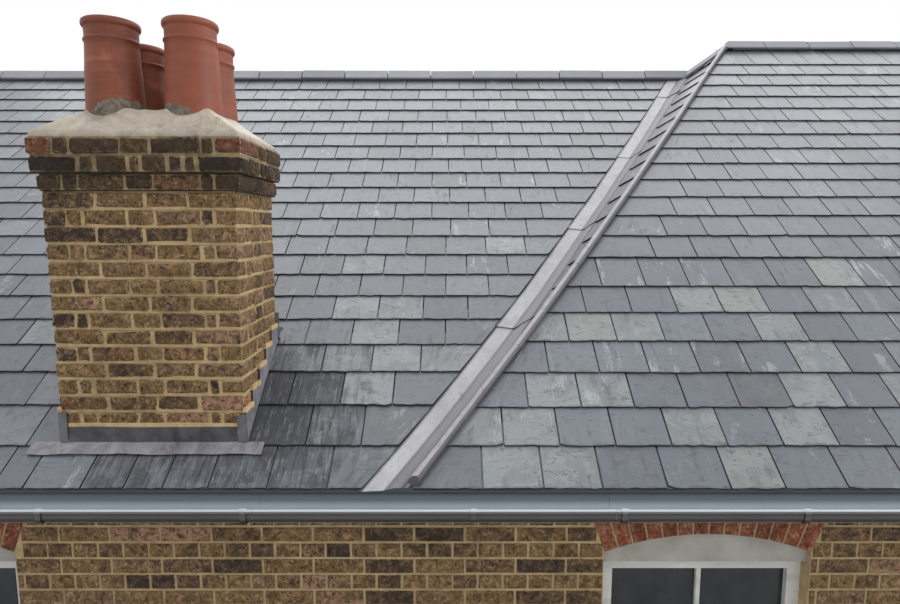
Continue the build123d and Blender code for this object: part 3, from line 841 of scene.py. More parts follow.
def tail_of(n, drift):
    """Height of a row's tails up the slope: the gauge, and how far the real rows drift from it."""
    return n * GAUGE + float(np.interp(n, *zip(*drift)))


def spread(first, low, high):
    """Joints every slate width, through first, between low and high."""
    start = first + SPACING * int((low - first) / SPACING - 1)
    return [x for x in (start + SPACING * k for k in range(60)) if low < x < high]


def left_joints(n):
    """Row 0 as it was read off, and above it two rows in turn, which shift a little higher up."""
    if n == 0:
        return spread(ROW_0_LEFT[0] - SPACING, -HALF, ROW_0_LEFT[0] - 0.1) + list(ROW_0_LEFT)
    first = 0.228 if (n + (n > 8)) % 2 == 0 else 0.102
    return spread(first + (0.030 - 0.004 * (n - 9) if n > 8 else 0), -HALF, HALF)


def right_joints(n):
    if n == 0:
        return list(ROW_0_RIGHT) + spread(ROW_0_RIGHT[-1] + 0.262, ROW_0_RIGHT[-1] + 0.1, HALF)
    first = 0.120 if n % 2 == 0 else 0.243
    return spread(first - (0.006 * (n - 5) if n > 5 else 0), -HALF, HALF)


def level(value):
    return lambda s: value + 0 * s


def left_cut(s):
    return at(CUT, s * cos(LEFT_PITCH)) + valley_bow(s * cos(LEFT_PITCH)) + 0.006


def right_cut(s):
    return hip_x(s * cos(RIGHT_PITCH)) + 0.004


def look(x, s, pale_list, front):
    """Tone, paleness and dirt of the slate whose middle is at x and s."""
    tone = float(np.clip(rng.normal(0.5, 0.19), 0, 1))
    pale = float(np.clip(rng.normal(0.02, 0.08), 0, 0.25))
    if rng.random() < 0.05:
        pale = rng.uniform(0.25, 0.5)
    dirt = 0.0
    if front:
        for px, ps, amount in pale_list:
            if abs(px - x) < 0.13 and abs(ps - s) < 0.10:
                pale, tone = 0.25 + 0.45 * amount, rng.uniform(0.4, 1.0)
    if front and pale_list is PALE_LEFT:
        dirt = float(np.clip(1.25 - hypot((x + 0.75) / 0.40, (s - 0.35) / 0.56), 0, 1))
        if s < 0.2 and -1.65 < x < -0.5:
            dirt = max(dirt, 0.6)
    return (tone, pale, dirt)


def add_row(places, slope, tail, joints, low, high, pale_list, front, **shape):
    length = shape.get("length", SLATE_LENGTH)
    mid = tail + min(length, GAUGE) / 2
    inside = [x for x in joints if low(mid) + 0.13 < x < high(mid) - 0.13]
    lines = [low] + [level(x) for x in inside] + [high]
    for left, right in zip(lines, lines[1:]):
        gap_l = 0 if left is low else JOINT / 2 + rng.normal(0, 0.0004)
        gap_r = 0 if right is high else JOINT / 2 + rng.normal(0, 0.0004)
        a, b = (lambda s, f=left, g=gap_l: f(s) + g), (lambda s, f=right, g=gap_r: f(s) - g)
        marks = look((a(mid) + b(mid)) / 2, tail + 0.1, pale_list, front)
        places.append((slate(slope, tail, a, b, **shape), marks, rng.uniform(-40, 40, 2)))


UNDER_ROW = {"length": 0.20, "lift": -0.0082}  # the short slates under the first row
SHORT = (-1.918, -0.776)  # from where to where the row beside the stack is cut short


def left_slates(front):
    """The rows stop at the stack, and beside it the fifth is cut short over one of half slates."""
    places = []
    verge, west, east = level(-HALF), level(STACK_X[0] - 0.010), level(STACK_X[1] + 0.010)

    def row(tail, joints, low, high, pale_list=PALE_LEFT, known=front, **shape):
        add_row(places, LEFT, tail, joints, low, high, pale_list, known, **shape)

    row(0.001, spread(0.02, -HALF, HALF), verge, left_cut, (), False, **UNDER_ROW)
    for n in range(LEFT_ROWS):
        tail, joints = tail_of(n, LEFT_DRIFT), left_joints(n)
        length = min(SLATE_LENGTH, RUN / cos(LEFT_PITCH) - 0.02 - tail)
        if not front or n > 4:
            row(tail, joints, verge, left_cut, length=length)
        elif n == 0:
            row(tail, joints, verge, left_cut, length=0.226)
        elif n < 4:
            row(tail, joints, verge, west, length=length)
            row(tail, joints, east, left_cut, length=length)
        else:
            row(tail, joints, verge, level(SHORT[0]))
            row(tail, joints, level(SHORT[0] + 0.002), west, length=0.142)
            row(tail, joints, east, level(SHORT[1]), length=0.142)
            row(tail, joints, level(SHORT[1] + 0.003), left_cut)
    if front:
        row(0.977, left_joints(4), level(SHORT[0]), level(SHORT[1]), length=0.140, lift=-0.0068)
    return places


def right_slates(front):
    places = []
    add_row(places, RIGHT, 0.001, spread(0.26, -HALF, HALF), right_cut, level(HALF), (), False, **UNDER_ROW)
    for n in range(RIGHT_ROWS):
        tail = tail_of(n, RIGHT_DRIFT)
        top = RUN / cos(RIGHT_PITCH) - 0.02 - tail
        add_row(places, RIGHT, tail, right_joints(n), right_cut, level(HALF), PALE_RIGHT, front,
                length=top if n == RIGHT_ROWS - 1 else min(0.335, top))
    return places


print("rows", LEFT_ROWS, RIGHT_ROWS)

# %% [markdown]
# Under the slates lies the dark underlay that shows in the joints. It is a thin board on each
# slope, left open round the chimney. `plate` makes such boards, and later the lead sheets: a grid
# is pulled down into a closed plate and then dressed over any shape.

# %% Plates
UNDERLAY_DEPTH = 0.024


def plate(name, across, along, place, thick):
    clear()
    bpy.ops.mesh.primitive_grid_add(x_subdivisions=across, y_subdivisions=along, size=1)
    piece = named(name)
    pull(piece, (0, 0, -1))
    bpy.ops.object.mode_set(mode="OBJECT")
    step = 0.002  # how far apart the slope of the shape is measured
    marks = marks_of(piece)
    for k, vertex in enumerate(piece.data.vertices):
        u, v, layer = vertex.co.x + 0.5, vertex.co.y + 0.5, round(vertex.co.z)
        marks[k].color = (u, v, 0, 1)
        low_u, high_u = max(u - step, 0), min(u + step, 1)
        low_v, high_v = max(v - step, 0), min(v + step, 1)
        across_edge = Vector(place(high_u, v)) - Vector(place(low_u, v))
        along_edge = Vector(place(u, high_v)) - Vector(place(u, low_v))
        out = across_edge.cross(along_edge).normalized()
        vertex.co = Vector(place(u, v)) + out * (layer * thick)
    edit(piece)
    return done(piece, smooth=40)


def board(slope, left, right, top, foot=0.02):
    def place(u, v):
        s = foot + v * (top - foot)
        return slope.place(left(s) + u * (right(s) - left(s)), s, -UNDERLAY_DEPTH)[0]
    return plate("underlay", 2, 2, place, 0.0075)


def underlay_left(front):
    edge, top = level(-HALF + 0.002), RUN / cos(LEFT_PITCH) - 0.01
    if not front:
        return [board(LEFT, edge, left_cut, top)]
    west, east = level(STACK_X[0] - 0.005), level(STACK_X[1] + 0.005)
    low, high = (STACK_T[0] - 0.012) / cos(LEFT_PITCH), (STACK_T[1] + 0.02) / cos(LEFT_PITCH)
    return [board(LEFT, edge, west, top), board(LEFT, west, east, low),
            board(LEFT, west, east, top, high), board(LEFT, east, left_cut, top)]


def underlay_right():
    return [board(RIGHT, right_cut, level(HALF - 0.002), RUN / cos(RIGHT_PITCH) - 0.01)]


print("plates and boards ready")

# %% Lay the slopes
UNDERLAY = mortar_material("underlay", colour(58, 58, 60), colour(40, 40, 42), 0.001)


def lay_slates(name, places, front, node):
    piece = stamp(name, SLATE_MODEL, places, flip=not front, rim=SLATE_RIM, local=SLATE_LOCAL)
    finish_piece(piece, SLATE, "slate", node)
    print(len(places), "slates")


for side, front in (("front", True), ("rear", False)):
    for part, places, under in (("left", left_slates(front), underlay_left(front)),
                                ("right", right_slates(front), underlay_right())):
        lay_slates(side + "_slates_" + part, places, front, side + "_slope_" + part)
        base = join(side + "_underlay_" + part, under)
        finish_piece(base if front else moved_back(base), UNDERLAY, "slate", side + "_slope_" + part)

# %% [markdown]
# Beside the valley a narrow slope of cut slates climbs to the hip, one slate in each row. Its tails
# run square to its own fall. The rows were counted in the photograph by the height at which each
# tail meets the lead.

# %% The slates between valley and hip
FIRST_TAIL, TAIL_RISE, HIP_GAUGE = 1.010, 0.1297, 0.235
HIP_TAIL, HIP_UP = Vector((0.8105, -0.3117, 0.495)).normalized(), Vector((0.1588, 0.9313, 0.3264))
HIP_UP = (HIP_UP - HIP_TAIL * HIP_UP.dot(HIP_TAIL)).normalized()
Z_START, Z_RISE = 0.0448, 0.7001  # height of the slope's lower edge at t = 0 and its rise


def hip_slates():
    places = []
    edge_rate = (SLATE_EDGE[1] * HIP_UP.y - HIP_UP.x) / (HIP_TAIL.x - SLATE_EDGE[1] * HIP_TAIL.y)
    hip_run = HIP_TAIL.x - HIP[1] * HIP_TAIL.y
    for k in range(-3, 13):
        t = (FIRST_TAIL + TAIL_RISE * k - Z_START) / Z_RISE
        x = at(SLATE_EDGE, t)
        bend = (hip_x(t + 0.1) - hip_x(t)) / 0.1
        hip_rate, start = (bend * HIP_UP.y - HIP_UP.x) / hip_run, (hip_x(t) - x) / hip_run
        length = min(0.31, (RUN - 0.03 - t) / HIP_UP.y)
        if start < 0.02 or length < 0.05:
            continue
        marks = (float(rng.uniform(0.3, 0.8)), float(rng.uniform(0, 0.35)), 0.0)
        move = slate(Slope(world(x, t, hip_z(x, t)), HIP_TAIL, HIP_UP), 0.0,
                     lambda s: edge_rate * s - 0.004, lambda s, r=hip_rate, b=start: r * s + b - 0.006,
                     length=length, lift=0.001, gauge=HIP_GAUGE)
        places.append((move, marks, rng.uniform(-40, 40, 2)))
    return places


for side, front in (("front", True), ("rear", False)):
    lay_slates(side + "_hip_slates", hip_slates(), front, side + "_hip_slope")


def hip_underlay():
    def place(u, v):
        t = 0.60 + v * (RUN - 0.60 - 0.02)
        x = at(SLATE_EDGE, t) + u * (hip_x(t) - at(SLATE_EDGE, t))
        return world(x, t, hip_z(x, t) - UNDERLAY_DEPTH)
    return plate("front_hip_underlay", 2, 4, place, 0.006)


finish_pair(hip_underlay(), UNDERLAY, "slate", "front_hip_slope")

# %% [markdown]
# The valley is lined with lead. Real lead is laid in short sheets, each lapping the one below, and
# it is dressed down by hand, so it is never quite flat. Each sheet here is a plate that runs along
# the sole, turns up softly at the crease and climbs to the hip. Its lower end stands a little
# proud over the sheet below.

# %% Valley lead
VALLEY_LAPS = (-0.007, 0.82, 1.58, 2.37, 3.30, 3.62)


def rough(x, y, z, scale, depth):
    return noise.noise(Vector((x, y, z)) * scale) * depth


def valley_section(t):
    """Corners (x, z) across the valley at t, from under the slates to the top of the upstand."""
    base, bow = left_z(t), valley_bow(t)
    drop = 1 / cos(LEFT_PITCH)
    crease, cut = at(CREASE, t) + bow, at(CUT, t) + bow
    if hip_x(t) < at(SLATE_EDGE, t) + 0.022:
        top = (hip_x(t) - 0.010, right_z(max(t, 0)) + 0.004 if t > 0 else base + 0.004)
    else:
        top = (at(SLATE_EDGE, t) + 0.012, hip_z(at(SLATE_EDGE, t) + 0.012, t) - 0.013)
    rise = top[1] - base
    return [(cut - 0.003, base - 0.0115 * drop), (cut + 0.012, base - 0.0112 * drop),
            (crease - 0.050, base - 0.0096 * drop), (crease - 0.014, base - 0.008 * drop),
            (crease + 0.010, base - 0.003 * drop + 0.06 * rise),
            (crease + 0.35 * (top[0] - crease), base + 0.32 * rise),
            (crease + 0.75 * (top[0] - crease), base + 0.76 * rise), top]


def valley_sheet(name, low, high, seed):
    marks = (0.0, 0.10, 0.30, 0.45, 0.56, 0.72, 0.88, 1.0)  # where the corners lie across the sheet

    def place(u, v):
        foot = low - 0.026 * min(u * 2, 1) + 0.07 * max(0, u - 0.5) if low > 0 else low
        t = foot + v * (high + 0.06 - foot)
        x, z = (float(np.interp(u, marks, values)) for values in zip(*valley_section(t)))
        proud = 0.0055 * max(0.0, 1 - (t - foot) / 0.25) + 0.0012
        z += proud + rough(x, t, seed, 5.0, 0.0035) + rough(x, t, seed, 16.0, 0.0012)
        return world(x, t, z)

    return plate(name, 30, max(int((high - low) / 0.03), 6), place, 0.0026)


def valley_lead(name):
    laps = [(a, min(b, 3.56)) for a, b in zip(VALLEY_LAPS, VALLEY_LAPS[1:])]
    return join(name, [valley_sheet(name, a, b, 3.0 * k) for k, (a, b) in enumerate(laps)])


finish_pair(valley_lead("front_valley_sheets"), LEAD_SOLE, "lead", "front_valley_lead")

# %% [markdown]
# Over the hip runs a lead roll: sheet lead wrapped round a wooden rod, in lengths that lap one
# another. Each length is a ring pulled along the hip, a little wider at its lower end, with the
# small dents that a mallet leaves. `rings` builds any such turned shape, on end or along a line.

# %% Turned shapes


def rings(name, steps, sides=48, hollow=False):
    """A ring drawn up through steps of (height, radius); hollow joins the last ring to the first."""
    clear()
    height, radius = steps[0]
    bpy.ops.mesh.primitive_circle_add(vertices=sides, radius=radius, location=(0, 0, height))
    piece = settle(named(name))
    edit(piece, "EDGE", "SELECT")
    for (z0, r0), (z1, r1) in zip(steps, steps[1:]):
        bpy.ops.mesh.extrude_region_move(TRANSFORM_OT_translate={"value": (0, 0, z1 - z0)})
        bpy.ops.transform.resize(value=(r1 / r0, r1 / r0, 1), center_override=(0, 0, z1))
    pick(piece, lambda edge: edge.is_boundary, "EDGE")
    if hollow:
        bpy.ops.mesh.bridge_edge_loops()
    else:
        bpy.ops.mesh.fill_holes(sides=0)
    return done(piece, smooth=42)


def dent(piece, scale, depth):
    for vertex in piece.data.vertices:
        vertex.co += vertex.normal * rough(*vertex.co, scale, depth)
    return piece


ROLL_LAPS = (0.004, 0.595, 0.80, 1.09, 1.72, 2.43, 3.10, 3.575)
ROLL_RADIUS = 0.0205
ROLL_LIFT = ROLL_RADIUS * sqrt(1 + RIGHT_RISE ** 2 / (1 + HIP[1] ** 2))


def roll_point(t):
    return Vector(world(hip_x(t) + 0.004, t, right_z(t) + ROLL_LIFT))


def roll_length(k, low, high):
    """One length, wider at its foot; the foot of the first is cut off upright."""
    start, end = roll_point(low), roll_point(high)
    run = (end - start).length
    count = max(int(run / 0.05), 5)
    tail, fade = (0.0012, 1) if k else (0.0040, 6)
    steps = [(0.0, ROLL_RADIUS + tail - 0.002), (0.001, ROLL_RADIUS + tail)]
    for i in range(count + 1):
        steps.append((0.01 + (run - 0.01) * i / count, ROLL_RADIUS + tail * (1 - i / count) ** fade))
    piece = rings("roll", steps, 18)
    turn = (end - start).to_track_quat("Z", "Y")
    if k == 0:
        slant = (turn.inverted() @ Vector((0, -1, 0.2)) + Vector((0, 0, -0.6))).normalized()
        for vertex in piece.data.vertices:
            x, y, z = vertex.co
            vertex.co.z -= (slant.x * x + slant.y * y) / slant.z * max(0.0, 1 - z / 0.15)
    piece.rotation_euler = turn.to_euler()
    piece.location = start
    return dent(settle(piece), 16.0, 0.0022)


def hip_roll(name):
    laps = [(a, min(b + 0.02, ROLL_LAPS[-1])) for a, b in zip(ROLL_LAPS, ROLL_LAPS[1:])]
    return join(name, [roll_length(k, a, b) for k, (a, b) in enumerate(laps)])


def shade_roll_side(piece):
    """Marks the side of the roll that lies towards the right slates, and the end at its foot, for painted
    shade.
    """
    marks = marks_of(piece)
    away = Vector((0.60, -0.50, -0.62)).normalized()
    for k, vertex in enumerate(piece.data.vertices):
        painted_shade = vertex.normal.dot(away) * 1.9 + 0.32
        marks[k].color = (min(max(painted_shade, 0.0), 1.0), 0, 0, 1)
    # painted shade: the end face at the foot of the roll drawn dark
    caps = [face for face in piece.data.polygons if len(face.vertices) > 8]
    for k in min(caps, key=lambda face: face.center.z).vertices:
        marks[k].color = (1, 0, 0, 1)
    return piece


finish_pair(shade_roll_side(hip_roll("front_roll")), LEAD_ROLL, "lead", "front_hip_roll")

# %% [markdown]
# Angle ridge tiles close the top of both roofs. One tile is an outline drawn out to 420 mm with
# its edges bevelled. The copies are butted end to end, each a millimetre or two out of line, on a
# strip of mortar that is set back under the wings and coloured dark as painted shade.

# %% Ridge tiles
WING, LEFT_WING, LEFT_LIFT = 0.090, 0.070, 0.021


def tile_outline(rise, lift, wing):
    apex, low = rise * RUN + lift, rise * RUN - rise * wing
    return [(RUN - wing, low + 0.032), (RUN - 0.012, apex + 0.0345), (RUN, apex + 0.0405),
            (RUN + 0.012, apex + 0.0345), (RUN + wing, low + 0.032),
            (RUN + wing - 0.006, low + 0.018), (RUN, apex + 0.022), (RUN - wing + 0.006, low + 0.018)]


def ridge_tiles(name, rise, lift, wing, starts, end, slant=None):
    """Tiles from each start to the next; the one that starts at slant is cut to the hip."""
    tile = drawn("tile", tile_outline(rise, lift, wing), 0.0, 1.0)
    points, faces = corners_of(chamfer(tile, 0.0025, 40))
    under = np.where(points[:, 2] < rise * (RUN - wing) + 0.027, 1.0, 0.0)
    places = []
    for k, start in enumerate(starts):
        stop = starts[k + 1] - 0.008 if k + 1 < len(starts) else end
        lean, drop, shift = rng.normal(0, 0.0012), abs(rng.normal(0, 0.0016)), rng.normal(0, 0.0010)

        def move(p, a=start, b=stop, lean=lean, drop=drop, shift=shift):
            along, across, up = p.T
            a = a - (HIP[1] * np.abs(across) if a == slant else 0.0)
            up = up - drop - lean * (1 + np.sign(across) * (along - 0.5))
            return np.stack([a + along * (b - a), across + shift, up], axis=1)

        places.append((move, (float(rng.uniform(0.0, 1.0)), 0, 0), (3.0 * k, 1.7 * k)))
    return stamp(name, (points, faces), places, rim=under)


def tile_starts(joint, step, low, high):
    """Where each tile starts: a step apart through a known joint, with no stub at the ends."""
    first = joint - step * int((joint - low) / step)
    count = int((high - first) / step) + 1
    inside = [first + step * k for k in range(count) if low + 0.12 < first + step * k < high - 0.12]
    return [low] + inside


LEFT_RIDGE, RIGHT_RIDGE = (LEFT_RISE, LEFT_LIFT, LEFT_WING), (RIGHT_RISE, 0.0, WING)
left_starts = tile_starts(-1.846, 0.4157, -HALF, 2.420)
right_starts = tile_starts(3.030, 0.4215, 2.700, HALF)
piece = ridge_tiles("left_ridge", *LEFT_RIDGE, left_starts, 2.372)
finish_piece(piece, RIDGE, "ridge_tile", "ridge_tiles_left")
piece = ridge_tiles("right_ridge", *RIGHT_RIDGE, right_starts, HALF, right_starts[0])
finish_piece(piece, RIDGE, "ridge_tile", "ridge_tiles_right")


def ridge_bed(name, rise, wing, x0, x1):
    strips = []
    for side in (-1, 1):
        (near, z_near), (far, z_far) = [(RUN + side * (wing - back), rise * (RUN - wing + back))
                                        for back in (0.012, 0.050)]
        outline = [(near, z_near - 0.004), (near, z_near + 0.024), (far, z_far + 0.024), (far, z_far - 0.004)]
        strips.append(divide(drawn("bed", outline, x0, x1), 1))
    return join(name, strips)


piece = ridge_bed("left_ridge_bed", LEFT_RISE, LEFT_WING, -HALF + 0.004, 2.412)
finish_piece(piece, SHADED_BED, "mortar", "ridge_tiles_left")
piece = ridge_bed("right_ridge_bed", RIGHT_RISE, WING, 2.712, HALF - 0.004)
finish_piece(piece, SHADED_BED, "mortar", "ridge_tiles_right")

# %% [markdown]
# Between the two ridges the narrow slope comes up to a short sloping ridge of its own, covered
# with folded lead that tucks under the upper ridge tile.

# %% Lead over the sloping ridge


def capping():
    """A folded cap, drawn out along x and then lifted to the slope of the short ridge."""
    outline = [(RUN - 0.088, 0.032), (RUN - 0.010, 0.046), (RUN + 0.010, 0.046), (RUN + 0.088, 0.032),
               (RUN + 0.088, 0.006), (RUN, 0.020), (RUN - 0.088, 0.006)]
    piece = chamfer(drawn("ridge_capping", outline, at(SLATE_EDGE, RUN) - 0.050, 2.695), 0.003, 30, 2)
    for vertex in piece.data.vertices:
        x, reach = vertex.co.x, abs(vertex.co.y)
        vertex.co.x -= 0.45 * reach
        vertex.co.z += hip_z(vertex.co.x, RUN - reach) + rough(x, reach, 5.0, 22.0, 0.0015)
    return piece


finish_piece(capping(), LEAD, "lead", "hip_ridge_capping")

# %% [markdown]
# The gutter is a moulded profile: a flat floor, a front that leans back at its foot, two fine
# grooves along the face and a rolled lip. It is one outline drawn out along the eaves in three
# lengths. Clips, each a narrower outline, wrap the face where the brackets are.

# %% Gutters
GUTTER_OUTLINE = [
    (0.0645, -0.054), (0.0645, -0.1315), (-0.042, -0.1315), (-0.0575, -0.117),
    (-0.0585, -0.1130), (-0.0560, -0.1115), (-0.0560, -0.1090), (-0.0590, -0.1075),
    (-0.0592, -0.0990), (-0.0570, -0.0975), (-0.0570, -0.0955), (-0.0592, -0.0940),
    (-0.0592, -0.0860), (-0.0616, -0.0825), (-0.0627, -0.0775), (-0.0620, -0.0725),
    (-0.0597, -0.0698), (-0.0560, -0.0690), (-0.0530, -0.0705), (-0.0540, -0.0760), (-0.0560, -0.0780),
    (-0.0550, -0.1145), (-0.0410, -0.1275), (0.0605, -0.1275), (0.0605, -0.054),
]
BRACKETS = (-2.530, -1.727, -0.868, 0.734, 1.499)
SEAMS = (-0.831, 0.698)
CLIP_OUTLINE = [
    (0.0200, -0.1320), (-0.0425, -0.1325), (-0.0595, -0.1170), (-0.0605, -0.0870),
    (-0.0638, -0.0800), (-0.0638, -0.0730), (-0.0600, -0.0675), (-0.0500, -0.0670),
    (-0.0500, -0.0705), (-0.0590, -0.0715), (-0.0590, -0.1160), (-0.0420, -0.1305), (0.0200, -0.1305),
]


def gutter_run(name):
    gap = 0.0006
    ends = (-HALF - gap,) + SEAMS + (HALF + gap,)
    lengths = [drawn("length", GUTTER_OUTLINE, a + gap, b - gap) for a, b in zip(ends, ends[1:])]
    return chamfer(join(name, lengths), 0.0005, 30)


def clips(name):
    """One at each bracket that was seen, and every 0.8 m where none was."""
    pieces = []
    guessed = [x for x in np.arange(-4.7, 4.8, 0.8) if min(abs(x - b) for b in BRACKETS) > 0.5]
    for x in [*BRACKETS, *guessed]:
        clip = drawn("clip", CLIP_OUTLINE, x - 0.014, x + 0.014)
        edit(clip, action="SELECT")
        bpy.ops.mesh.bevel(offset=0.0007, segments=1, affect="EDGES")
        pieces.append(done(clip))
    return join(name, pieces)


for side in ("front", "rear"):
    run, fixings = gutter_run(side + "_gutter_run"), clips(side + "_gutter_clips")
    if side == "rear":
        run, fixings = moved_back(run), moved_back(fixings)
    finish_piece(run, GUTTER, "gutter_paint", side + "_gutter")
    finish_piece(fixings, GUTTER, "gutter_paint")

# %% [markdown]
# The chimney is built of old yellow bricks. Courses of long faces (stretchers) alternate with
# courses of ends (headers), and the three courses at the top step out. One brick is a cube cut
# three by three, so that its corners can wear and its edges can carry a smear of mortar. The
# joints are the mortar core that the bricks stand 4 mm proud of.

# %% One brick
BRICK_MODEL = corners_of(divide(box("brick", (0, 0, 0), (1, 1, 1)), 2))
BRICK_INDEX = np.rint(BRICK_MODEL[0] * 3).astype(int)
BRICK_ENDS = (BRICK_INDEX == 0) | (BRICK_INDEX == 3)
BRICK_RIM = (BRICK_ENDS.sum(axis=1) < 2).astype(float)


def brick(low, high):
    """Worn most at its corners, less along its edges; low and high are its outer corners."""
    jitter = rng.normal(0, 0.0026, (len(BRICK_INDEX), 3)) * np.where(BRICK_RIM[:, None] > 0, 0.5, 1.0)
    pull = np.where(BRICK_ENDS.sum(axis=1) > 2, rng.uniform(0.002, 0.006), 0.0022) * (BRICK_RIM < 1)

    def move(points):
        stops = [[a, a + 0.010, b - 0.010, b] for a, b in zip(low, high)]
        spots = np.stack([np.array(stops[k])[BRICK_INDEX[:, k]] for k in range(3)], axis=1)
        middle = (np.array(low) + np.array(high)) / 2
        return spots - np.sign(spots - middle) * pull[:, None] * BRICK_ENDS + jitter

    return move


print("brick faces", len(BRICK_MODEL[1]))

# %% Bond of the chimney
FRONT_LONG = (0.222, 0.211, 0.190, 0.207)
FRONT_ENDS = (0.095, 0.066, 0.195, 0.118, 0.200, 0.056, 0.100)
FRONT_TOP = (0.200, 0.066, 0.138, 0.056, 0.112, 0.060, 0.050, 0.190)
SIDE_TOP = (0.105, 0.062, 0.072, 0.058, 0.068, 0.060, 0.095)
SIDE_LONG, SIDE_ENDS = (0.105, 0.072, 0.160, 0.183), (0.215, 0.105, 0.200)
BRICK_JOINT, PROUD, DEPTH = 0.0115, 0.0035, 0.1


def cells(lengths, low, high, joint=BRICK_JOINT):
    """The bricks between low and high: the two ends of each, a joint between neighbours."""
    scale = (high - low) / sum(lengths)
    marks = [low]
    for length in lengths:
        marks.append(marks[-1] + length * scale)
    slack = [0.0] + list(rng.normal(0, 0.004, len(lengths) - 1)) + [0.0]
    marks = [m + s for m, s in zip(marks, slack)]
    spans = [(a + joint / 2, b - joint / 2) for a, b in zip(marks, marks[1:])]
    spans[0], spans[-1] = (low, spans[0][1]), (spans[-1][0], high)
    return spans


def brick_tone(course, place):
    """Tone, redness and soot. Courses count from the top, and the top three are sooty."""
    tone = float(np.clip(rng.normal(0.47, 0.19), 0.10, 0.78))
    if rng.random() < 0.11:
        tone = rng.uniform(0.78, 0.98)
    if rng.random() < 0.08:
        tone = rng.uniform(0.0, 0.15)
    soot = 0.0
    if course < 4:
        soot = float(rng.uniform(0.45, 0.90))
        tone = min(tone, 0.5)
    red = 1.0 if course == 1 and place in ("first", "last") else float(rng.random() < 0.05) * 0.35
    return (tone, red, soot * (1 - red * 0.8))


def course_faces(course):
    """Ends of the stack at a course: the top two courses stand out twice as far as the third."""
    out = {1: 0.036, 2: 0.034}.get(course, 0.014 if course == 3 else 0.0)
    shift = 0.008 if course < 4 else 0.0
    x0, x1 = STACK_X[0] - out - PROUD + shift, STACK_X[1] + out + PROUD + shift
    return x0, x1, STACK_T[0] - out - PROUD, STACK_T[1] + out + PROUD


def course_bricks(course):
    """The bricks all round the stack; those that the slates hide are left out."""
    x0, x1, t0, t1 = course_faces(course)
    long = course > 3 and course % 2 == 0
    across = cells(FRONT_LONG if long else FRONT_ENDS, x0, x1)
    along = cells(SIDE_LONG if long else SIDE_ENDS, t0, t1)
    if course == 2:
        across, along = cells(FRONT_TOP, x0, x1, 0.020), cells(SIDE_TOP, t0, t1, 0.014)
    top = BRICK_TOP - (course - 1) * COURSE - 0.0062
    z0, z1 = top - COURSE + BRICK_JOINT, top
    boxes = []
    for i, (a, b) in enumerate(across):
        ends = i in (0, len(across) - 1)
        where = "first" if i == 0 else ("last" if ends else "")
        boxes.append((a, b, t0, along[0][1] if ends else t0 + DEPTH, where))
        boxes.append((a, b, along[-1][0] if ends else t1 - DEPTH, t1, ""))
    for c, d in along[1:-1]:
        boxes += [(x0, x0 + DEPTH, c, d, ""), (x1 - DEPTH, x1, c, d, "")]
    places = []
    for a, b, c, d, where in boxes:
        if course > 3 and z1 < left_z(max(min(d, STACK_T[1]), 0.19)) - 0.02:
            continue
        stand = rng.uniform(0, 0.0045 if course < 11 else 0.0015) * (course < 17)
        a, b = a - stand * (a == x0), b + stand * (b == x1)
        c, d = c - stand * (c == t0), d + stand * (d == t1)
        move = brick(world(a, c, z0 + rng.normal(0, 0.0012)), world(b, d, z1 + rng.normal(0, 0.0012)))
        places.append((move, brick_tone(course, where), rng.uniform(-9, 9, 2)))
    return places


def course_core(course):
    x0, x1, t0, t1 = course_faces(course)
    top = BRICK_TOP - (course - 1) * COURSE - (0.0 if course == 1 else 0.001)
    return box("core", world(x0 + 0.006, t0 + 0.006, top - COURSE), world(x1 - 0.006, t1 - 0.006, top))


top_bricks = [place for course in (1, 2, 3) for place in course_bricks(course)]
shaft_bricks = [place for course in range(4, 19) for place in course_bricks(course)]
OVERSAIL = ("oversail_course_lower", "oversail_course_upper")
for name, places, nodes in (("oversail_bricks", top_bricks, OVERSAIL), ("shaft_bricks", shaft_bricks, ())):
    piece = stamp(name, BRICK_MODEL, places, rim=BRICK_RIM)
    use(piece)
    bpy.ops.object.shade_smooth_by_angle(angle=radians(50))
    finish_piece(piece, STOCK, "stock_brick", *nodes)
    print(name, len(places))
cores = join("oversail_mortar", [course_core(course) for course in (1, 2, 3)])
finish_piece(cores, SOOTY_SHADED, "mortar", *OVERSAIL)

# %% [markdown]
# Sloping mortar, called flaunching, sheds the rain round the feet of the pots. It starts as a box
# whose top is pulled up and in. The pots' seats are cut out, the lump is remeshed into small even
# faces, and then it is roughened as a trowel would leave it, with a fillet against each pot.

# %% Flaunching
SEAT = 0.112  # radius of a pot's seat


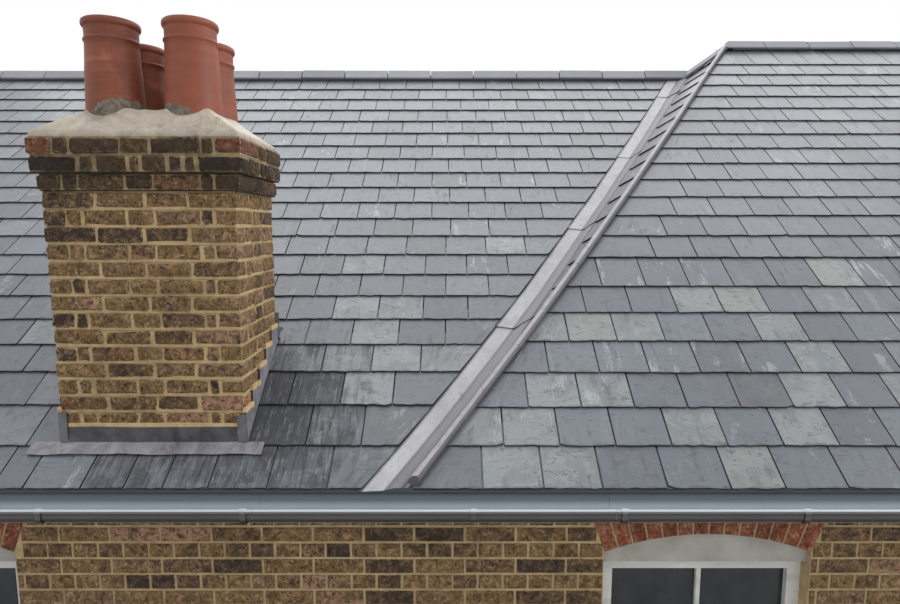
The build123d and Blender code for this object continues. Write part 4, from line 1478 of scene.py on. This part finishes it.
def flaunching():
    x0, x1, t0, t1 = STACK_X[0] - 0.026, STACK_X[1] + 0.036, STACK_T[0] - 0.034, STACK_T[1] + 0.034
    piece = box("flaunching_mortar", world(x0, t0, BRICK_TOP - 0.004), world(x1, t1, BRICK_TOP + 0.024))
    edit(piece)
    pick(piece, lambda face: face.normal.z > 0.9)
    bpy.ops.mesh.extrude_region_move(TRANSFORM_OT_translate={"value": (0.024, 0.010, 0.102)})
    middle = world((x0 + x1) / 2 + 0.024, (t0 + t1) / 2 + 0.010, BRICK_TOP + 0.126)
    bpy.ops.transform.resize(value=(0.53 / (x1 - x0), 0.42 / (t1 - t0), 1), center_override=middle)
    done(piece)
    for x, t, _ in POTS.values():
        clear()
        spot = world(x, t, BRICK_TOP)
        bpy.ops.mesh.primitive_cylinder_add(vertices=48, radius=SEAT, depth=0.5, location=spot)
        cutter = bpy.context.object
        apply(piece, "BOOLEAN", operation="DIFFERENCE", object=cutter, solver="EXACT")
        bpy.data.objects.remove(cutter)
    apply(piece, "REMESH", mode="VOXEL", voxel_size=0.0085)
    apply(piece, "SMOOTH", factor=0.5, iterations=3)
    for vertex in piece.data.vertices:
        x, t = vertex.co.x, vertex.co.y + RUN
        reach = min(hypot(x - p[0], t - p[1]) for p in POTS.values()) - SEAT
        lump = rough(*vertex.co, 6.0, 0.007) + rough(*vertex.co, 24.0, 0.0025)
        if vertex.normal.z > 0.3:
            vertex.co.z += lump + 0.010 * max(0.0, 1 - max(reach, 0) / 0.05) ** 2
        else:
            vertex.co += vertex.normal * rough(*vertex.co, 30.0, 0.002)
    use(piece)
    bpy.ops.object.shade_smooth_by_angle(angle=radians(50))
    return piece


finish_piece(flaunching(), FLAUNCH, "mortar", "flaunching")

# %% [markdown]
# A chimney pot is a turned clay pipe: a straight body that tapers a little, a raised bead below
# the top and a rolled rim. It is drawn ring by ring up the outside and down the inside, and the
# last ring is joined to the first, so the wall has its real thickness.

# %% Pots
# where cement was smeared up the front pots: towards (x, t), and how far it reaches
SMEARS = {"pot_front_left": (0.75, -0.66, 0.085), "pot_front_right": (-0.80, -0.60, 0.040)}


def pot(name, x, t, top):
    """Its marks say where cement and soot show, and mark the right-hand pots for painted light."""
    height = top - BRICK_TOP
    outside = [(0.002, 0.117), (0.06, 0.1162), (0.10, 0.1156), (0.125, 0.1152), (0.15, 0.1148),
               (0.175, 0.1144), (0.20, 0.1138), (0.225, 0.1132), (height * 0.56, 0.1120),
               (height - 0.18, 0.1098), (height - 0.120, 0.1088),
               (height - 0.096, 0.1085), (height - 0.092, 0.1120),
               (height - 0.088, 0.1142), (height - 0.084, 0.1142), (height - 0.080, 0.1120),
               (height - 0.077, 0.1085), (height - 0.055, 0.1085), (height - 0.034, 0.1100),
               (height - 0.028, 0.1165), (height - 0.022, 0.1192), (height - 0.012, 0.1192),
               (height - 0.005, 0.1172), (height - 0.001, 0.1120)]
    inside = [(height - 0.001, 0.1010), (height - 0.005, 0.0955), (height - 0.014, 0.0935),
              (height - 0.09, 0.0920), (height * 0.5, 0.0915), (0.12, 0.0915), (0.002, 0.0920)]
    piece = rings(name, outside + inside, hollow=True)
    piece.location = world(x, t, BRICK_TOP)
    settle(piece)
    marks = marks_of(piece)
    side_x, side_t, reach = SMEARS.get(name[:-5], (0.0, 0.0, 0.012))
    for k, vertex in enumerate(piece.data.vertices):
        radial = Vector((vertex.co.x - x, vertex.co.y - t + RUN, 0))
        inner = radial.length < 0.104
        radial.normalize()
        rise = vertex.co.z - EAVES - BRICK_TOP
        up = rise - 0.125
        facing = max(radial.x * side_x + radial.y * side_t, 0.0) ** 0.7
        cement = 0.15 + 0.75 * facing - 0.62 * max(up, 0.0) / reach if side_x else 0.5 - up / 0.02
        soot = 0.8 if inner else max(0.0, 1 - (height - rise) / 0.045) * 0.55
        # the third mark is painted light, set on the right-hand pots
        marks[k].color = (max(min(cement, 1.0), 0.0), soot, 0.0 if "left" in name else 1.0, 1)
        flare = 0.0 if inner else 0.007 * max(0.0, 1 - up / 0.36)
        vertex.co += radial * (rough(*vertex.co, 6.0, 0.0022) + flare)
    return piece


for name, (x, t, top) in POTS.items():
    finish_piece(pot(name + "_clay", x, t, top), CLAY, "terracotta", name)

# %% [markdown]
# Lead keeps the rain out where the stack meets the slates: an apron in front, steps let into the
# joints up each side, and a small gutter behind. The apron is one sheet turned up the brickwork
# and dressed down on the slates. The steps are cut from one piece and stand just off the bricks.

# %% Lead round the stack
APRON_X, APRON_T, APRON_TOP = (-1.898, -0.843), (0.1345, 0.1875), 0.206
STEP_CLEAR = 0.150  # height of a step over the slates


def apron_skirt(u, v):
    x = APRON_X[0] + u * (APRON_X[1] - APRON_X[0])
    wave = 0.003 * sin(11 * x) + rough(x, 0, 9.0, 14.0, 0.004)
    t = APRON_T[0] + (1 - v) * wave * 0.5 + v * (APRON_T[1] - APRON_T[0])
    z = left_z(t) + 0.0045 + 0.0016 * (1 - v) * sin(25 * x) + rough(x, t, 2.0, 20.0, 0.0020)
    return world(x, t, z)


def apron_upstand(u, v):
    x = STACK_X[0] - 0.008 + u * (STACK_X[1] - STACK_X[0] + 0.016)
    z = left_z(APRON_T[1]) + 0.002 + v * (APRON_TOP - left_z(APRON_T[1]) - 0.002)
    t = APRON_T[1] - 0.001 + 0.0015 * v + rough(x, z, 4.0, 12.0, 0.0022)
    return world(x, t, z + (0.0015 * sin(30 * x) if v > 0.9 else 0))


skirt = plate("apron_skirt", 70, 5, apron_skirt, 0.003)
upstand = plate("apron_upstand", 60, 4, apron_upstand, 0.0028)
finish_piece(skirt, LEAD_SKIRT, "lead", "apron_flashing")
# the upstand takes the darker copy of the lead, as painted shade
finish_piece(upstand, LEAD_SHADED, "lead", "apron_flashing")


def step_spans(start, end):
    """Each course beside the stack: where its step begins and ends, and the height of the joint."""
    for k in range(17, 10, -1):
        z = BRICK_TOP - k * COURSE
        low = (z - STEP_CLEAR) / LEFT_RISE
        yield max(low, start), min(low + COURSE / LEFT_RISE, end), z


def step_corners():
    """The stepped top, one step to a course, and the foot that follows the slates."""
    start, end = STACK_T[0] - 0.006, STACK_T[1] + 0.004
    top = [corner for t0, t1, z in step_spans(start, end) if t1 > t0 for corner in ((t0, z), (t1, z))]
    return top + [(end, left_z(STACK_T[1]) + 0.002), (start, left_z(STACK_T[0]) + 0.001)]


def step_lead(name, face, out):
    sheet = chamfer(drawn(name, step_corners(), face, face + 0.0035 * out), 0.0008, 40)
    divide(apply(sheet, "TRIANGULATE"), 2)
    for vertex in sheet.data.vertices:
        vertex.co.x += rough(*vertex.co, 14.0, 0.0022) + out * 0.001
    return sheet


# the steps take the lighter copy of the lead, as painted light
finish_piece(step_lead("steps_left", STACK_X[0] - 0.0085, -1), LEAD_STEPS_LIT, "lead", "step_flashing_left")
finish_piece(step_lead("steps_right", STACK_X[1] + 0.0085, 1), LEAD_STEPS_LIT, "lead", "step_flashing_right")


def ear(x0, x1, height):
    """The end of the side flashing, folded round the corner over the upstand."""
    def place(u, v):
        x = x0 + u * (x1 - x0)
        z = left_z(APRON_T[1]) + 0.004 + v * (height + 0.004 * sin(60 * x))
        return world(x, APRON_T[1] - 0.0052 + rough(x, z, 8.0, 16.0, 0.002), z)
    return plate("ear", 8, 12, place, 0.003)


def pointing():
    """Sand coloured mortar pressed over the top of the lead, along the front and up the steps."""
    face = STACK_T[0] - PROUD
    strips = [box("strip", world(STACK_X[0] + 0.03, face - 0.003, APRON_TOP),
                  world(STACK_X[1] - 0.03, face + 0.01, APRON_TOP + 0.018))]
    for t0, t1, z in step_spans(face, STACK_T[1]):
        for a, b in ((STACK_X[1] - 0.005, STACK_X[1] + 0.0155), (STACK_X[0] - 0.0155, STACK_X[0] + 0.005)):
            if t1 > t0 + 0.02:
                strips.append(box("strip", world(a, t0 - 0.004, z - 0.003), world(b, t1, z + 0.019)))
    return join("pointing", [dent(divide(strip, 6), 40.0, 0.004) for strip in strips])


left_ear = ear(STACK_X[0] - 0.010, STACK_X[0] + 0.028, 0.135)
right_ear = ear(STACK_X[1] - 0.030, STACK_X[1] + 0.012, 0.128)
finish_piece(join("flashing_ears", [left_ear, right_ear]), LEAD_FOLD, "lead")
finish_piece(pointing(), POINTING, "mortar")


def rear_tray(u, v):
    z0 = left_z(0.715)
    marks = ((0.719, 0.654), (0.7195, z0 + 0.030), (0.724, z0 + 0.015), (0.770, z0 + 0.0185),
             (0.799, left_z(0.799) + 0.001))
    x = STACK_X[0] - 0.021 + u * (STACK_X[1] - STACK_X[0] + 0.042)
    t, z = (float(np.interp(v, (0, 0.45, 0.5, 0.75, 1), values)) for values in zip(*marks))
    return world(x, t, z + rough(x, t, 6.0, 14.0, 0.0018))


finish_piece(plate("rear_tray", 40, 16, rear_tray, 0.003), LEAD, "lead", "back_gutter")

# %% [markdown]
# The walls are faced with thin bricks, alternately a course of long faces and a course of ends,
# standing 4 mm proud of the mortar. Each is the same ten-faced slip, fitted between its joints and
# trimmed where the rake of the gable, a window or an arch cuts it.

# %% Brick slips


def slip_model():
    piece = box("slip", (0, 0, 0), (1, 1, 1))
    edit(piece)
    pick(piece, lambda face: face.normal.y < -0.9)
    bpy.ops.mesh.inset(thickness=0.06, depth=0)
    bpy.ops.transform.translate(value=(0, -0.25, 0))
    done(piece)
    return corners_of(piece)


SLIP_MODEL = slip_model()
SLIP_RIM = (SLIP_MODEL[0][:, 1] < -0.1).astype(float)


def slip(low, high, bottoms, tops, put):
    """low and high along the wall, heights at both ends; put turns (h, z, out) into the world."""
    proud = 0.0042 + float(rng.uniform(-0.0008, 0.0006))
    jitter = rng.normal(0, 0.0008, (len(SLIP_MODEL[0]), 2))

    def move(points):
        a, depth, b = points[:, 0], points[:, 1], points[:, 2]
        inner = SLIP_RIM > 0
        a = np.where(inner, np.where(a < 0.5, 0.004, -0.004) / (high - low) + np.rint(a), a)
        b = np.where(inner, np.where(b < 0.5, 0.06, 0.94), b)
        h = low + a * (high - low) + jitter[:, 0]
        bottom = bottoms[0] + a * (bottoms[1] - bottoms[0])
        top = tops[0] + a * (tops[1] - tops[0])
        z = bottom + b * (top - bottom) + jitter[:, 1]
        out = np.where(inner, proud, np.where(depth > 0.5, -0.006, proud - 0.0018))
        return put(h, z, out)

    return move


LONG_FACE, HALF_JOINT = 0.2268, 0.0055  # the long face is measured with its joint


def wall_tone():
    tone = float(np.clip(rng.normal(0.42, 0.2), 0.02, 0.75))
    if rng.random() < 0.08:
        tone = float(rng.uniform(0.8, 1.0))
    return (tone, 0.0, float(np.clip(rng.normal(0.05, 0.12), 0, 0.5)))


def wall_slips(low, high, top_line, holes, put):
    places = []
    for course in range(60):
        z0 = -EAVES + 0.0065 + course * COURSE
        z1 = z0 + COURSE - 0.012
        if z0 > max(top_line(low), top_line((low + high) / 2)):
            break
        step, shift = (LONG_FACE, 0.0) if course % 2 == 0 else (LONG_FACE / 2, LONG_FACE / 4)
        count = int((high - low) / step) + 2
        edges = [low + max(0.0, shift + step * (k - 1)) for k in range(count + 1)]
        edges = sorted({min(e, high) for e in edges})
        for a, b in zip(edges, edges[1:]):
            spans = [(a + (HALF_JOINT if a > low else 0), b - (HALF_JOINT if b < high else 0))]
            for hole in holes:
                spans = [part for c, d in spans for part in hole(c, d, (z0 + z1) / 2)]
            for c, d in spans:
                tops = (min(z1, top_line(c)), min(z1, top_line(d)))
                if d - c > 0.02 and min(tops) - z0 > 0.012:
                    move = slip(c, d, (z0, z0), tops, put)
                    places.append((move, wall_tone(), rng.uniform(-9, 9, 2)))
    return places


def window_gap(centre):
    def cut(c, d, z):
        half = WINDOW_WIDTH / 2 + 0.004 + max(0.0, z - ARCH_FOOT) * ARCH_SPLAY
        a, b = centre - half, centre + half
        return [(p, q) for p, q in ((c, min(d, a)), (max(c, b), d)) if q - p > 0.02]
    return cut


def on_face(mirror):
    def put(h, z, out):
        return np.stack([h, mirror * (WALL_FACE - out - RUN), z + EAVES], axis=1)
    return put


def on_gable(side):
    face = HALF - VERGE

    def put(h, z, out):
        return np.stack([side * (face + np.minimum(out, 0.0075)), h - RUN, z + EAVES], axis=1)
    return put


def add_slips(name, places, finish, slot):
    piece = stamp(name, SLIP_MODEL, places, rim=SLIP_RIM)
    edit(piece)
    finish_piece(done(piece), finish, slot)


gaps = [window_gap(x) for x in WINDOWS]
wall_end = HALF - VERGE - 0.003
for side, mirror in (("front", 1), ("rear", -1)):
    places = wall_slips(-wall_end, wall_end, lambda h: WALL_TOP, gaps, on_face(mirror))
    add_slips(side + "_wall_bricks", places, STOCK, "stock_brick")
for side, sign, rise in (("left", -1, LEFT_RISE), ("right", 1, RIGHT_RISE)):
    places = wall_slips(WALL_FACE + 0.003, 2 * RUN - WALL_FACE - 0.003,
                        lambda h, r=rise: r * min(h, 2 * RUN - h) - 0.040, [], on_gable(sign))
    add_slips(side + "_gable_bricks", places, STOCK, "stock_brick")

# %% [markdown]
# Each window has a flat arch of red bricks on end. They stand along the radii of the arch, and
# the soffit board under the slates trims their tops.

# %% Window arches
ARCH_COUNT = 14


def arch_bricks(centre, mirror):
    places = []
    middle = ARCH_CROWN - ARCH_RADIUS
    edges = np.linspace(-ARCH_TURN, ARCH_TURN, ARCH_COUNT + 1)
    for a0, a1 in zip(edges, edges[1:]):
        a0, a1 = a0 + 0.0035, a1 - 0.0035
        outer = min(ARCH_RADIUS + ARCH_HEIGHT, (WALL_TOP - 0.004 - middle) / cos(max(abs(a0), abs(a1))))

        def move(points, a0=a0, a1=a1, outer=outer):
            inner = SLIP_RIM > 0
            across = np.where(inner, np.where(points[:, 0] < 0.5, 0.06, 0.94), points[:, 0])
            up = np.where(inner, np.where(points[:, 2] < 0.5, 0.02, 0.98), points[:, 2])
            angle, radius = a0 + across * (a1 - a0), ARCH_RADIUS + 0.002 + up * (outer - ARCH_RADIUS - 0.002)
            out = np.where(inner, 0.0045, np.where(points[:, 1] > 0.5, -0.006, 0.003))
            return np.stack([centre + radius * np.sin(angle), mirror * (WALL_FACE - out - RUN),
                             middle + radius * np.cos(angle) + EAVES], axis=1)

        marks = (float(rng.uniform(0.1, 0.9)), 0, float(rng.uniform(0, 0.3)))
        places.append((move, marks, rng.uniform(-9, 9, 2)))
    return places


for side, mirror in (("front", 1), ("rear", -1)):
    arches = [place for centre in WINDOWS for place in arch_bricks(centre, mirror)]
    add_slips(side + "_arch_bricks", arches, RED, "red_brick")

# %% [markdown]
# The sashes get their glazing bars: an upright in the middle and a meeting rail, with bevelled
# edges, set against the glass.

# %% Window bars
for k, centre in enumerate(WINDOWS):
    bars = []
    for low, high in (((centre - 0.011, 0.172, -1.0), (centre + 0.011, 0.1895, HEAD_FOOT - 0.06)),
                      ((centre - 0.404, 0.168, -0.735), (centre + 0.404, 0.1895, -0.695))):
        bar = box("bar", world(*low), world(*high))
        edit(bar)
        pick(bar, lambda face: face.normal.y < -0.9)
        bpy.ops.mesh.inset(thickness=0.004, depth=0.003)
        bars.append(done(bar))
    both = join("window_bars_%d" % k, bars)
    finish_piece(mirrored(both, "rear_window_bars_%d" % k), FRAME_PAINT, "white_paint")
    finish_piece(both, FRAME_PAINT, "white_paint")

# %% [markdown]
# The camera stands in front of the roof at the height the photograph was taken from, and looks
# down a little. Its lens, place and tilt were worked out from the slates and the bricks, whose
# sizes are known. The light is a plain pale room: a large soft lamp above, a smaller one from the
# right, a wide one beyond the ridge and a white surround.

# %% Camera and lamps
clear()
bpy.ops.object.camera_add(location=(0, -6.090, 2.156), rotation=(radians(90 - 7.15), 0, 0))
camera = bpy.context.object
camera.data.lens, camera.data.sensor_width = 24, 36
bpy.context.scene.camera = camera


def lamp(name, place, aim, wide, deep, power, spread=180):
    clear()
    bpy.ops.object.light_add(type="AREA", location=place)
    light = bpy.context.object
    light.name = name
    light.data.shape, light.data.energy = "RECTANGLE", power
    light.data.size, light.data.size_y, light.data.spread = wide, deep, radians(spread)
    light.rotation_euler = (Vector(aim) - Vector(place)).to_track_quat("-Z", "Y").to_euler()


lamp("overhead", (-1.5, -3.5, 9.0), (0, 0, 2), 8.0, 8.0, 130)
lamp("right", (8.5, -4.5, 5.0), (-1.2, -3.2, 2.2), 5.0, 5.0, 64, 70)
lamp("beyond", (1.0, 5.0, 11.0), (1.0, -0.5, 3), 22.0, 9.0, 900)
print("camera and lamps")

# %% Surround and floor
world_finish = bpy.data.worlds.new("surround")
bpy.context.scene.world = world_finish
world_finish.use_nodes = True
tree = world_finish.node_tree
# the sky lights the roof a little less than it shows to the camera
plain, seen = tree.nodes["Background"], tree.nodes.new("ShaderNodeBackground")
plain.inputs["Color"].default_value, plain.inputs["Strength"].default_value = (0.95, 0.97, 1, 1), 0.72
seen.inputs["Color"].default_value, seen.inputs["Strength"].default_value = (1, 1, 1, 1), 1.0
path, blend = tree.nodes.new("ShaderNodeLightPath"), tree.nodes.new("ShaderNodeMixShader")
rays = Wire(tree, path.outputs["Is Camera Ray"]) + Wire(tree, path.outputs["Is Glossy Ray"])
rays = (rays + Wire(tree, path.outputs["Is Transmission Ray"])).clip()
tree.links.new(rays.socket, blend.inputs[0])
tree.links.new(plain.outputs[0], blend.inputs[1])
tree.links.new(seen.outputs[0], blend.inputs[2])
tree.links.new(blend.outputs[0], tree.nodes["World Output"].inputs["Surface"])

clear()
bpy.ops.mesh.primitive_plane_add(size=60, location=(0, 0, 0))
floor = bpy.context.object
floor.name = "floor"
pale = Finish("pale_floor", Roughness=0.9)
mottle = pale.noise(pale.spot(), 1.5, 3.0, 0.5)
coat(floor, pale.set(Base_Color=pale.mix(mottle, colour(214, 214, 212), colour(222, 222, 220))))
bpy.context.scene.view_settings.view_transform = "Standard"
print("surround and floor")

# %% Leave nothing selected
clear()
